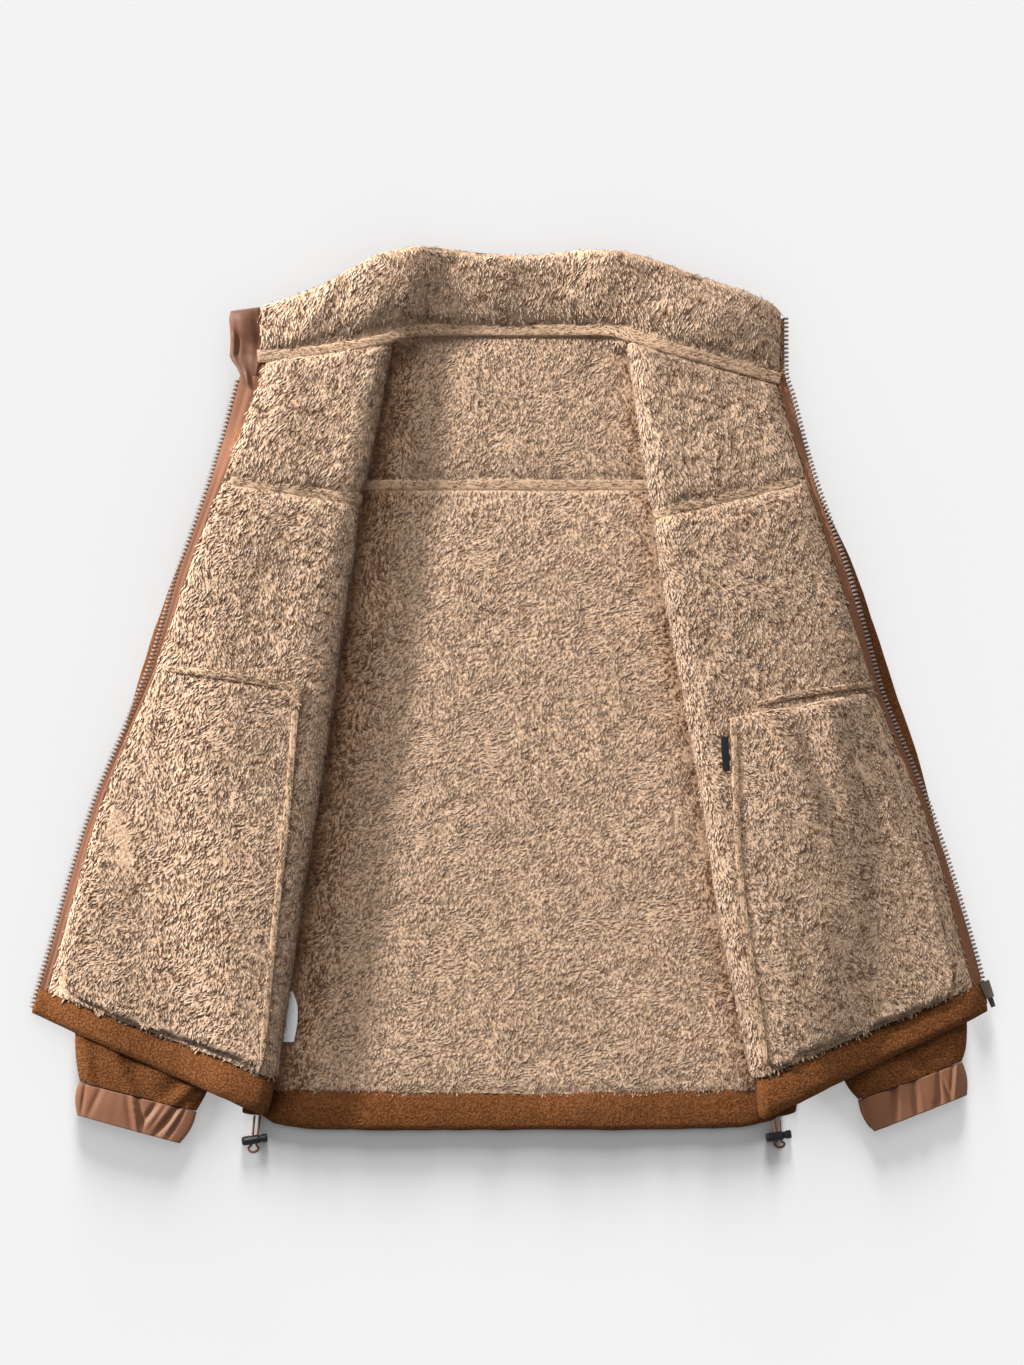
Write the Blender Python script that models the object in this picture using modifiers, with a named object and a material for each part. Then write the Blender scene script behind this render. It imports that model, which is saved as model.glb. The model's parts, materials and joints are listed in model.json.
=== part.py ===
# A sherpa-lined fleece jacket laid open on a surface, inside up, with the sleeves folded under the fronts.
# Sizes are in millimetres; MM turns them into metres where a mesh is made.
# X runs to the viewer's right, Y from hem to collar, Z up. The surface that it rests on is Z = 0.
import math

import bmesh
import bpy
import numpy as np
from mathutils import Vector

MM = 0.001
CENTRE = (2.562, 2.232)   # middle of the bounding box without the cords, taken off every place at the end
GAP = 0.3                 # between pieces at a seam
FLEECE = 2.2              # wall of the brown outer fleece
PILE = 7.2                # wall of the sherpa lining, pile and knit backing
HIDDEN_PILE = 4.0         # the same lining pressed flat under the fold
SLEEVE_DEPTH = 15.0       # a flattened sleeve: two layers of shell and two of lining
HEM_DEPTH = 5.5           # how far the turned-up hem stands over the shell
POCKET_DEPTH = 5.0
TAPE_DEPTH = 1.0
CUFF_GATHERS = 15
LOCK_RADIUS = 4.0
CORD_DIAMETER = 2.0

BACK_TOP = FLEECE + GAP + PILE
UNDER_LEAF = BACK_TOP + 2 * GAP + HIDDEN_PILE + GAP   # inner face of the shell of the leaf under the fold
BODY_TOP = UNDER_LEAF + FLEECE
LEAF_REST = SLEEVE_DEPTH + 2.0                        # the opened front over a sleeve that lies on the surface
SLEEVE_DRAPE = (1.0, 40.0)                            # where and in what run a sleeve comes down off the body's edge
LEAF_DRAPE = (6.0, 52.0)                              # and the stiffer front over it
DROOP = 12.0                                          # how far a front's edge sinks past the sleeve
DROOP_RUN = 25.0

# Stations down a front, counted in rows of the two tables below
NECK, CHEST_SEAM, POCKET_TOP, LINING_END, HEM_EDGE = 0.0, 1.0, 3.0, 6.0, 7.0
FRONT_COLUMNS = (
    "fold_x", "fold_y", "zip_x", "zip_y", "side_x", "side_y",
    "bare",        # width of zip tape that the lining leaves bare
    "pocket",      # from the fold to the pocket's inner edge
    "roll",        # half the inner width of the fold
    "fold_drop",   # how far the leaf sinks at the fold
    "edge_drop",   # and towards the zip
)
FRONT_ROWS = {
    "left": (
        (-95, 304, -227, 284, -211, 253, 22.0, 30.0, 9.0, 8.0, 16.0),
        (-121, 168, -252, 187, -236, 177, 10.5, 30.0, 9.0, 0.0, 0.0),
        (-134, 83, -281, 105, -252, 83, 9.0, 31.0, 9.0, 0.0, 0.0),
        (-146, -2, -303, 30, -245, -2, 6.0, 31.0, 9.0, 0.0, 0.0),
        (-160, -95, -349, -80, -236, -95, 6.0, 24.0, 9.0, 0.0, 0.0),
        (-176, -193, -375, -159, -228, -193, 9.0, 19.5, 8.0, 0.0, 0.0),
        (-195, -325, -401, -248, -224, -325, 9.0, 14.8, 6.0, 4.0, 0.0),
        (-205, -355, -408, -267, -227, -352, 8.0, 12.0, 4.5, 9.0, 0.0),
    ),
    "right": (
        (95, 304, 236.5, 265, 219, 253, 12.0, 34.0, 9.0, 8.0, 16.0),
        (117, 156, 256, 187, 252, 177, 7.0, 34.0, 9.0, 0.0, 0.0),
        (129, 79, 286, 104, 274, 83, 9.0, 37.0, 9.0, 0.0, 0.0),
        (148, -23, 313, 7, 269, -2, 6.0, 37.0, 9.0, 0.0, 0.0),
        (162, -104, 353, -88, 262, -95, 4.0, 26.0, 9.0, 0.0, 0.0),
        (175, -193, 379, -167, 253, -193, 8.0, 20.0, 8.0, 0.0, 0.0),
        (203, -326, 401, -243, 245, -325, 9.0, 14.8, 6.0, 4.0, 0.0),
        (209, -359, 407, -265, 243, -352, 8.0, 12.0, 4.5, 9.0, 0.0),
    ),
}
# The lines that every layer of a front is built on. Across: 0 to 1 is the leaf below, 1 to 2 the fold,
# 2 to 3 the opened leaf to the lining's edge, 3 to 4 the bare zip tape.
FOLD_START, FOLD_END, POCKET_EDGE, POCKET_BAND, LINING_EDGE, ZIP_EDGE = 1.0, 2.0, 2.1, 2.2, 3.0, 4.0
BAND_WIDTH = 7.0
ACROSS = (0.0, 0.2, 0.5, 1.0, 1.25, 1.5, 1.75, 2.0, 2.1, 2.2, 2.32, 2.44, 2.56, 2.68, 2.8, 2.95, 3.0)
# Down the lining: the row and the share of the full pile there
CHEST_DOWN = ((0.01, 0.5), (0.04, 0.86), (0.08, 1.0), (0.35, 1.0), (0.65, 1.0), (0.925, 0.92), (0.967, 0.42),
              (0.998, 0.42))
LOWER_DOWN = ((1.002, 0.42), (1.052, 0.42), (1.11, 0.92), (1.5, 1.0), (2.0, 1.0), (2.5, 1.0), (3.0, 1.0), (3.05, 1.0),
              (3.1, 1.0), (3.5, 1.0), (4.0, 1.0), (4.5, 1.0), (5.0, 1.0), (5.5, 1.0), (5.91, 1.0), (5.965, 0.86),
              (5.996, 0.5))

SLEEVE_COLUMNS = ("outer_x", "outer_y", "inner_x", "inner_y", "depth")
SLEEVE_ROWS = {
    "left": (
        (-214, 232, -178, 228, 7.0),
        (-239, 194, -150, 185, 13.0),
        (-263, 151, -150, 130, 15.0),
        (-285, 105, -151, 75, 15.0),
        (-308, 42, -162, 7, 15.0),
        (-328, -28, -179, -65, 15.0),
        (-345, -95, -200, -132, 15.0),
        (-358, -172, -223, -206, 15.0),
        (-367, -242, -240, -276, 15.0),
        (-371, -291, -252, -323, 16.0),
        (-366, -326, -266, -351, 13.0),
    ),
    "right": (
        (222, 232, 191, 228, 7.0),
        (249, 194, 162, 185, 13.0),
        (272, 153, 158, 130, 15.0),
        (295, 105, 158, 75, 15.0),
        (315, 42, 168, 7, 15.0),
        (340, -28, 187, -65, 15.0),
        (358, -88, 208, -132, 15.0),
        (373, -160, 233, -206, 15.0),
        (385, -231, 262, -276, 15.0),
        (390, -288, 281, -323, 16.0),
        (384, -309, 296, -341, 13.0),
    ),
}
CUFF_ENDS = {
    "left": ((-366, -326), (-266, -351), (-367.5, -354), (-280, -378)),
    "right": ((384, -309), (296, -341), (388, -337), (309, -368)),
}

# Where the collar is sewn on, and its free edge, from the viewer's left to right
COLLAR_COLUMNS = ("seam_x", "seam_y", "seam_z", "edge_x", "edge_y", "edge_z", "arch")
COLLAR_ROWS = (
    (-211, 289, 21, -212, 330, 18, 2),
    (-178, 293, 23, -178, 342, 20, 3),
    (-144, 299, 26, -150, 352, 25, 5),
    (-115, 304, 28, -122, 371, 31, 6),
    (-94, 310, 21, -95, 380, 29, 7),
    (-68, 311, 9, -68, 382, 23, 5),
    (-34, 310, 5, -36, 378, 16, 2),
    (-8, 309, 4, -8, 376, 19, 5),
    (17, 309, 4, 17, 375, 17, 2),
    (47, 309, 4, 47, 378, 20, 4),
    (76, 310, 8, 78, 380, 27, 6),
    (99, 308, 20, 110, 375, 27, 5),
    (128, 298, 28, 150, 360, 24, 4),
    (162, 288.5, 27, 185, 348, 25, 5),
    (197, 278.5, 24, 208, 341, 22, 4),
    (229, 269, 21.5, 229, 328, 18, 2),
)

BACK_HEM_COLUMNS = ("x", "top_y", "low_y", "depth")
BACK_HEM_ROWS = (
    (-214, -336, -352, 7.0),
    (-195, -336, -363, 7.6),
    (-150, -337, -367, 8.2),
    (-60, -339, -367, 8.0),
    (40, -340, -367, 8.3),
    (120, -338, -367, 8.0),
    (190, -336, -365, 8.1),
    (222, -336, -359, 7.6),
    (231, -337, -350, 7.0),
)
SHOULDER_ROWS = {"left": ((-211, 253), (-96, 310)), "right": ((219, 253), (99, 310))}

# Soft raised folds in the opened fronts: centre, direction in degrees, length, width and height
FOLD_COLUMNS = ("x", "y", "angle", "length", "width", "height")
FRONT_FOLDS = {
    "left": (
        (-190, 235, 75, 90, 26, 3.0),
        (-165, 190, 20, 60, 22, 2.2),
        (-225, 110, 60, 80, 30, 3.0),
        (-175, 60, 80, 110, 22, 2.5),
        (-255, -40, 70, 110, 36, 3.2),
        (-330, -140, 62, 90, 24, 4.0),
        (-250, -200, 40, 130, 40, 3.5),
        (-300, -235, 20, 70, 26, 2.5),
    ),
    "right": (
        (175, 225, -75, 90, 28, 2.8),
        (225, 175, -20, 60, 22, 2.4),
        (205, 90, -55, 90, 32, 3.2),
        (240, 20, -10, 70, 24, 2.4),
        (235, -70, -70, 90, 22, 4.2),
        (285, -50, -60, 70, 22, 3.4),
        (290, -180, -50, 120, 38, 3.2),
        (340, -225, -20, 70, 24, 2.6),
    ),
}

# How the lining thins towards its border: distance in from it and share of the full pile
EDGE = ((0.0, 0.5), (4.0, 0.86), (9.0, 1.0))
SEAM = ((0.0, 0.42), (4.5, 0.42), (9.5, 0.92))

SLIDER_PLACE = (404.6, -247.2)
SLIDER_LENGTH, SLIDER_WIDTH, SLIDER_DEPTH = 14.5, 8.6, 6.2
PULL_TURN = 21.0          # degrees by which the slider and its pull lean outwards
PULL_DROP = 2.2           # from the slider's underside to the pull's bar

COLOURS = {
    "fleece": (0.235, 0.105, 0.048),
    "fleece_dark": (0.19, 0.083, 0.037),
    "sherpa": (0.47, 0.325, 0.215),
    "cuff": (0.36, 0.185, 0.115),
    "tape": (0.45, 0.29, 0.175),
    "zip_tape": (0.2, 0.082, 0.042),
    "zip_metal": (0.16, 0.1, 0.08),
    "black": (0.012, 0.012, 0.014),
    "white": (0.78, 0.78, 0.78),
}


def clear_scene():
    for obj in list(bpy.data.objects):
        bpy.data.objects.remove(obj, do_unlink=True)


def collection_of(name, hidden=False):
    group = bpy.data.collections.new(name)
    bpy.context.scene.collection.children.link(group)
    group.hide_render = hidden
    return group


def material_of(name, colour, roughness, metallic=0.0):
    material = bpy.data.materials.new(name)
    material.use_nodes = True
    shader = material.node_tree.nodes["Principled BSDF"]
    shader.inputs["Base Color"].default_value = (*COLOURS[colour], 1.0)
    shader.inputs["Roughness"].default_value = roughness
    shader.inputs["Metallic"].default_value = metallic
    return material


def smooth(x):
    """0 below 0, 1 above 1, and an even S between."""
    x = min(max(x, 0.0), 1.0)
    return x * x * (3.0 - 2.0 * x)


def columns_of(names, rows):
    return dict(zip(names, np.array(rows, float).T))


def along(values, t):
    """A smooth curve through evenly counted values, read at row t."""
    last = len(values) - 1
    i = int(min(max(math.floor(t), 0), last - 1))
    f = t - i
    a, b = values[i], values[i + 1]
    slope_a = (b - values[i - 1]) / 2 if i > 0 else b - a
    slope_b = (values[i + 2] - a) / 2 if i + 2 <= last else b - a
    h = f * f * (3 - 2 * f)
    return a + (b - a) * h + slope_a * (f ** 3 - 2 * f * f + f) + slope_b * (f ** 3 - f * f)


FRONTS = {side: columns_of(FRONT_COLUMNS, rows) for side, rows in FRONT_ROWS.items()}
SLEEVES = {side: columns_of(SLEEVE_COLUMNS, rows) for side, rows in SLEEVE_ROWS.items()}
COLLAR = columns_of(COLLAR_COLUMNS, COLLAR_ROWS)
BACK_HEM = columns_of(BACK_HEM_COLUMNS, BACK_HEM_ROWS)


def edge_x(table, x_name, y_name, y):
    """The x of a table's line at a height y; the rows run from high y to low."""
    return float(np.interp(y, table[y_name][::-1], table[x_name][::-1]))


def body_edge(side, y):
    """x of the back panel's edge: side seam and armhole up to the shoulder, then the shoulder seam."""
    (low_x, low_y), (high_x, high_y) = SHOULDER_ROWS[side]
    if y > low_y:
        return low_x + (high_x - low_x) * (y - low_y) / (high_y - low_y)
    return edge_x(FRONTS[side], "side_x", "side_y", y)


def body_drop(side, x, y, drape):
    """How far a layer that lies over the body's edge has come down at x, y."""
    outward = -1.0 if side == "left" else 1.0
    start, run = drape
    past_edge = (x - edge_x(FRONTS[side], "side_x", "side_y", y)) * outward
    return (BODY_TOP + 2 * GAP) * smooth((past_edge - start) / run)


def leaf_height(side, x, y):
    """Underside of an opened front's shell."""
    outward = -1.0 if side == "left" else 1.0
    past_sleeve = (x - edge_x(SLEEVES[side], "outer_x", "outer_y", y)) * outward
    droop = DROOP * smooth(past_sleeve / DROOP_RUN) if y < 232 else 0.0
    height = LEAF_REST + BODY_TOP + 2 * GAP - body_drop(side, x, y, LEAF_DRAPE) - droop
    for row in FRONT_FOLDS[side]:
        fold = dict(zip(FOLD_COLUMNS, row))
        turn = math.radians(fold["angle"])
        dx, dy = x - fold["x"], y - fold["y"]
        run = dx * math.cos(turn) + dy * math.sin(turn)
        across = dy * math.cos(turn) - dx * math.sin(turn)
        height += fold["height"] * math.exp(-((2 * run / fold["length"]) ** 2) - (2 * across / fold["width"]) ** 2)
    return height


def front_section(side, t):
    """The shell's inner face across a front at row t: places that flap_point reads."""
    row = {name: along(values, t) for name, values in FRONTS[side].items()}
    fold = np.array((row["fold_x"], row["fold_y"]))
    to_zip = np.array((row["zip_x"], row["zip_y"])) - fold
    to_side = np.array((row["side_x"], row["side_y"])) - fold
    row["fold"] = fold
    row["length"] = float(np.linalg.norm(to_zip))
    row["under_length"] = float(np.linalg.norm(to_side))
    row["zip_dir"] = to_zip / row["length"]
    row["side_dir"] = to_side / row["under_length"]
    cover = PILE + GAP + (HEM_DEPTH - PILE) * smooth(t - LINING_END)
    row["turn"] = cover + row["roll"]
    row["fold_drop"] = max(row["fold_drop"], 0.0)
    row["edge_drop"] = max(row["edge_drop"], 0.0)
    return row


def leaf_point(side, row, q):
    """Place and height of the opened leaf, q from the fold."""
    x, y = row["fold"] + row["zip_dir"] * q
    near_zip = smooth(q / 45.0) if row["edge_drop"] <= row["fold_drop"] else smooth(q / row["length"])
    drop = row["fold_drop"] * (1 - near_zip) + row["edge_drop"] * near_zip
    return x, y, leaf_height(side, x, y) + FLEECE - drop


def front_curve(side, row, s):
    """A point of the shell's inner face. s runs 0 to 1 on the under leaf from the side seam, to 2 round the
    fold, to 3 over the lining, and to 4 over the bare zip tape."""
    if s <= 1.0:
        curl = 9.0
        reach = row["under_length"] - row["turn"]
        q = row["turn"] + reach * (1.0 - s)
        rise = smooth(1.0 - max(q - (row["under_length"] - curl), 0.0) / curl)
        x, y = row["fold"] + row["side_dir"] * q
        return np.array((x, y, FLEECE + 4 * GAP + (UNDER_LEAF - FLEECE - 4 * GAP) * rise))
    top_x, top_y, top_z = leaf_point(side, row, row["turn"])
    if s <= 2.0:
        angle = math.pi * (s - 1.5)
        share = (math.sin(angle) + 1) / 2
        away = row["side_dir"] * (1 - share) + row["zip_dir"] * share
        q = row["turn"] - row["roll"] * math.cos(angle)
        x, y = row["fold"] + away * q
        return np.array((x, y, UNDER_LEAF + (top_z - UNDER_LEAF) * share))
    lining_end = row["length"] - row["bare"]
    places = (row["turn"], row["pocket"], row["pocket"] + BAND_WIDTH, lining_end, row["length"])
    q = np.interp(s, (FOLD_END, POCKET_EDGE, POCKET_BAND, LINING_EDGE, ZIP_EDGE), places)
    return np.array(leaf_point(side, row, float(q)))


def front_point(side, s, t, w):
    """The point w outside the shell's inner face: up on the opened leaf, down on the leaf below."""
    row = front_section(side, t)
    step = 0.02
    here = front_curve(side, row, s)
    ahead = front_curve(side, row, min(s + step, 4.0))
    behind = front_curve(side, row, max(s - step, 0.0))
    run = ahead - behind
    flat = row["side_dir"] if s < 1.0 else row["zip_dir"]
    if 1.0 <= s <= 2.0:
        share = (math.sin(math.pi * (s - 1.5)) + 1) / 2
        flat = row["side_dir"] * (1 - share) + row["zip_dir"] * share
        flat = flat / np.linalg.norm(flat)
    along_q = float(np.dot(run[:2], flat))
    size = math.hypot(along_q, run[2])
    normal = np.array((-run[2] / size * flat[0], -run[2] / size * flat[1], along_q / size))
    return here + normal * w


def collar_point(c, r, w):
    """c counts the collar's rows from the left, r runs from the seam to the free edge."""

    def inner(c, r):
        row = {name: along(values, c) for name, values in COLLAR.items()}
        seam = np.array((row["seam_x"], row["seam_y"], row["seam_z"]))
        edge = np.array((row["edge_x"], row["edge_y"], row["edge_z"]))
        return seam + (edge - seam) * r + np.array((0, 0, row["arch"] * math.sin(math.pi * r)))

    last = len(COLLAR_ROWS) - 1
    step = 0.01
    run = inner(min(c + step, last), r) - inner(max(c - step, 0), r)
    climb = inner(c, min(r + step, 1)) - inner(c, max(r - step, 0))
    normal = np.cross(run, climb)
    return inner(c, r) + normal / np.linalg.norm(normal) * w


def back_point(x_share, y, w):
    """A place on the back panel: x_share runs 0 to 1 between its edges, w is its height."""
    left, right = body_edge("left", y), body_edge("right", y)
    return np.array((left + (right - left) * x_share, y, w))


def stations(start, end, count, span, first=EDGE, last=EDGE):
    """Grid values from start to end, whose distance is span, with the borders' own rows, as value and pile."""
    unit = (end - start) / span
    head = [(start + d * unit, share) for d, share in first]
    tail = [(end - d * unit, share) for d, share in reversed(last)]
    inner_start, inner_end = head[-1][0], tail[0][0]
    middle = [(inner_start + (inner_end - inner_start) * i / (count + 1), 1.0) for i in range(1, count + 1)]
    return head + middle + tail


def even(start, end, count):
    return [(start + (end - start) * i / (count - 1), 1.0) for i in range(count)]


def mesh_object(name, points, faces, group, material):
    mesh = bpy.data.meshes.new(name)
    mesh.from_pydata([tuple(float(c) * MM for c in p) for p in points], [], faces)
    shape = bmesh.new()
    shape.from_mesh(mesh)
    bmesh.ops.recalc_face_normals(shape, faces=shape.faces)
    shape.to_mesh(mesh)
    shape.free()
    mesh.materials.append(material)
    mesh.shade_smooth()
    mesh.set_sharp_from_angle(angle=math.radians(40))
    obj = bpy.data.objects.new(name, mesh)
    group.objects.link(obj)
    return obj


def wall(name, place, us, vs, base, depth, group, material):
    """A closed wall on place(u, v, w) from w = base up to depth more, thinned by the stations' shares."""
    points, index = [], {}
    for i, (u, u_share) in enumerate(us):
        for j, (v, v_share) in enumerate(vs):
            low = base(u, v) if callable(base) else base
            full = depth(u, v) if callable(depth) else depth
            index["low", i, j] = len(points)
            points.append(place(u, v, low))
            index["high", i, j] = len(points)
            points.append(place(u, v, low + full * u_share * v_share))
    faces = []
    last_i, last_j = len(us) - 1, len(vs) - 1
    for i in range(last_i):
        for j in range(last_j):
            for level in ("low", "high"):
                a, b = index[level, i, j], index[level, i + 1, j]
                c, d = index[level, i + 1, j + 1], index[level, i, j + 1]
                for corners in ((a, b, c), (a, c, d)):
                    faces.append(corners if level == "high" else corners[::-1])
    border = [(i, 0) for i in range(last_i)] + [(last_i, j) for j in range(last_j)]
    border += [(i, last_j) for i in range(last_i, 0, -1)] + [(0, j) for j in range(last_j, 0, -1)]
    for here, there in zip(border, border[1:] + border[:1]):
        faces.append([index[("low", *here)], index[("low", *there)], index[("high", *there)], index[("high", *here)]])
    return mesh_object(name, points, faces, group, material)


def loft(name, rings, group, material):
    """A closed solid through rings of equal count, with a cap on each end."""
    count = len(rings[0])
    points = [p for ring in rings for p in ring]
    faces = [list(range(count))[::-1], [len(points) - count + k for k in range(count)]]
    for r in range(len(rings) - 1):
        for k in range(count):
            a, b = r * count + k, r * count + (k + 1) % count
            faces.append([a, b, b + count, a + count])
    return mesh_object(name, points, faces, group, material)


def pile_waves(x, y):
    """Slow unevenness of the sherpa, about 1 either way."""
    return (math.sin(x / 17.0 + 1.3 * math.sin(y / 29.0)) + math.sin(y / 14.0 + 1.7 * math.sin(x / 23.0 + 2.0))) / 2


def front_pile(side):
    def depth(s, t):
        x, y = front_curve(side, front_section(side, t), s)[:2]
        hidden = 1.0 - smooth(s - 0.9)
        return (PILE + 0.5 * pile_waves(x, y)) * (1 - hidden) + HIDDEN_PILE * hidden

    return depth


def make_back(group, materials):
    rows = [(y, 1.0) for y in (-335.5, -250, -150, -50, 50, 120, 177, 215, 253, 280, 308)]
    shares = even(0.0, 1.0, 9)
    wall("shell_back", back_point, shares, rows, 0.0, FLEECE, group, materials["fleece"])

    def inset(share, y, w):
        left, right = body_edge("left", y) + 13.0, body_edge("right", y) - 13.0
        return np.array((left + (right - left) * share, y, w))

    def depth(share, y):
        return PILE + 0.35 * (pile_waves(inset(share, y, 0)[0], y) - 1.0)

    across = stations(0.0, 1.0, 7, 450.0)
    seam_y = 181.0
    lower = stations(-335.5, seam_y - GAP / 2, 9, 516.0, EDGE, SEAM)
    upper = stations(seam_y + GAP / 2, 307.5, 2, 127.0, SEAM, EDGE)
    base = FLEECE + GAP
    wall("lining_back", inset, across, lower, base, depth, group, materials["sherpa"])
    wall("lining_yoke", inset, across, upper, base, depth, group, materials["sherpa"])
    tape_rows = [(seam_y + d, 1.0) for d in (-SEAM[1][0], -GAP / 2, GAP / 2, SEAM[1][0])]
    wall(
        "yoke_tape", inset, across[3:-3], tape_rows, lambda share, y: base + depth(share, y) * SEAM[0][1] + GAP,
        TAPE_DEPTH, group, materials["tape"],
    )


def make_back_hem(group, material):
    rings = []
    for i in range(22):
        t = i * (len(BACK_HEM_ROWS) - 1) / 21
        row = {name: along(values, t) for name, values in BACK_HEM.items()}
        width, depth = row["top_y"] - row["low_y"], row["depth"]
        profile = (
            (0.0, 0.0), (0.0, 0.6), (0.10, 0.86), (0.3, 1.0), (0.6, 0.97), (0.85, 0.8), (0.96, 0.55), (1.0, 0.28),
            (0.97, 0.0), (0.5, 0.0),
        )
        rings.append([(row["x"], row["top_y"] - GAP - (width - GAP) * a, depth * b) for a, b in profile])
    loft("hem_back", rings, group, material)


def make_front(side, group, materials):
    def place(s, t, w):
        return front_point(side, s, t, w)

    shell_s = [(s, 1.0) for s in (*ACROSS, 3.5)]
    shell_t = [(t, 1.0) for t, _ in CHEST_DOWN + LOWER_DOWN]
    wall(f"shell_front_{side}", place, shell_s, shell_t, -FLEECE, FLEECE, group, materials["fleece"])

    pile = front_pile(side)
    lining_s = [(0.5, 0.8)] + [(s, {2.95: 0.9, 3.0: 0.5}.get(s, 1.0)) for s in ACROSS[3:]]
    wall(f"lining_chest_{side}", place, lining_s, CHEST_DOWN, GAP, pile, group, materials["sherpa"])
    wall(f"lining_front_{side}", place, lining_s, LOWER_DOWN, GAP, pile, group, materials["sherpa"])

    tape_s = [(s, 1.0) for s in ACROSS[5:-1]]
    tape_t = [(t, 1.0) for t, _ in CHEST_DOWN[-2:] + LOWER_DOWN[:2]]
    wall(
        f"chest_tape_{side}", place, tape_s, tape_t, lambda s, t: GAP + pile(s, t) * SEAM[0][1] + GAP, TAPE_DEPTH,
        group, materials["tape"],
    )

    def hem_place(s, t, w):
        """The right hem stops short of the zip's edge, where the slider stands, and runs out below it."""
        if s > LINING_EDGE:
            reach = 0.82 if side == "left" else 0.45 + 0.35 * smooth((t - 6.62) / 0.3)
            s = LINING_EDGE + (s - LINING_EDGE) * reach
        return front_point(side, s, t, w)

    hem_s = [(0.0, 0.45), (0.2, 0.6), (0.5, 0.85)] + shell_s[3:-1] + [(3.7, 1.0), (4.0, 0.7)]
    hem_t = [(LINING_END + 0.004, 0.72), (6.1, 1.0), (6.45, 1.0), (6.7, 0.95), (6.85, 0.8), (HEM_EDGE, 0.45)]
    wall(
        f"hem_front_{side}", hem_place, hem_s, hem_t, -FLEECE,
        lambda s, t: FLEECE + HEM_DEPTH - 2.0 * (1 - smooth(s - 0.9)), group, materials["fleece"],
    )

    pocket_s = [(s, {2.1: 0.42, 2.2: 0.42, 2.32: 0.96, 2.8: 0.9, 2.95: 0.5}.get(s, 1.0)) for s in ACROSS[8:-1]]
    pocket_t = [(t, {3.0: 0.5, 3.05: 0.86, 5.91: 0.5}.get(t, 1.0)) for t, _ in LOWER_DOWN[6:-2]]
    wall(
        f"pocket_{side}", place, pocket_s, pocket_t, lambda s, t: GAP + pile(s, t) + GAP, POCKET_DEPTH,
        group, materials["sherpa"],
    )
    binding_s = even(POCKET_EDGE + 0.003, POCKET_BAND - 0.01, 2)
    binding_t = [(t, 1.0) for t, _ in pocket_t[1:]]
    wall(
        f"pocket_binding_{side}", place, binding_s, binding_t,
        lambda s, t: GAP + pile(s, t) + GAP + POCKET_DEPTH * 0.42 + GAP, TAPE_DEPTH, group, materials["tape"],
    )
    make_zip(side, place, group, materials)


def make_zip(side, place, group, materials):
    """Half of the zip: its tape along the lining, and its row of teeth along the tape's edge."""
    tape_start, tape_end = (0.27, 5.98) if side == "left" else (0.02, 5.86)
    tape_t = [tape_start] + [t for t, _ in CHEST_DOWN + LOWER_DOWN if tape_start + 0.03 < t < tape_end - 0.03]
    tape_t = [(t, 1.0) for t in tape_t + [tape_end]]
    wall(
        f"zip_tape_{side}", place, even(LINING_EDGE + 0.06, 3.5, 2) + [(3.74, 1.0)], tape_t, GAP, TAPE_DEPTH + 0.2,
        group, materials["zip_tape"],
    )

    def chain_place(s, t, w):
        """Above row 0 the right half runs up the collar's end."""
        if t >= 0.0:
            return place(s, t, w)
        x = 230.4 + 3.4 * (s - 3.87) / 0.13
        return np.array((x, 268.5 - 56.0 * t, 22.5 + 3.0 * t + w))

    above = [] if side == "left" else [(-1.0, 1.0), (-0.5, 1.0), (-0.02, 1.0)]
    chain_t = above + tape_t[:-1] + ([(5.98, 1.0), (6.4, 1.0), (6.85, 1.0)] if side == "left" else [(5.95, 1.0)])
    wall(
        f"zip_chain_{side}", chain_place, even(3.87, ZIP_EDGE, 2), chain_t, GAP - 0.8, 2.8,
        group, materials["zip_metal"],
    )


def make_collar(group, materials):
    last = len(COLLAR_ROWS) - 1
    along_collar = even(0.0, last, 25)
    rise = ((0.0, 0.42), (0.07, 0.42), (0.135, 0.42), (0.2, 0.92), (0.4, 1.0), (0.6, 1.0), (0.8, 1.0), (0.94, 0.86),
            (1.0, 0.5))

    def pile(c, r):
        return PILE + 0.6 * math.sin(2.1 * c + 4 * r)

    wall(
        "shell_collar", collar_point, along_collar, [(r, 1.0) for r, _ in rise], -FLEECE, FLEECE,
        group, materials["fleece"],
    )
    sideways = [(0.0, 0.6)] + along_collar[1:-1] + [(last, 0.6)]
    wall("lining_collar", collar_point, sideways, rise, GAP, pile, group, materials["sherpa"])
    wall(
        "neck_tape", collar_point, along_collar, [(r, 1.0) for r, _ in rise[:3]],
        lambda c, r: GAP + pile(c, r) * SEAM[0][1] + GAP, TAPE_DEPTH + 0.2, group, materials["tape"],
    )


def make_chin_guard(group, material):
    """The fabric turned over the left zip's upper end, beside the collar's end and on the front's bare tape."""
    beside_collar = ((330.5, -236.5, -215.5), (312, -237.3, -214.5), (296, -236.0, -214.2))
    down_front = (0.04, 0.12, 0.19, 0.245)
    reach = (0.9, 0.9, 0.78, 0.5)

    def place(k, row, w):
        i = int(row)
        if i < len(beside_collar):
            y, left, right = beside_collar[i]
            return np.array((left + (right - left) * k, y, 21.5 + w))
        i -= len(beside_collar)
        return front_point("left", ZIP_EDGE - 0.02 - reach[i] * k, down_front[i], GAP + w)

    across = [(0.0, 0.4), (0.15, 0.9), (0.5, 1.0), (0.85, 0.9), (1.0, 0.5)]
    wall("chin_guard", place, across, even(0, 6, 7), 0.0, 3.4, group, material)


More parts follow.
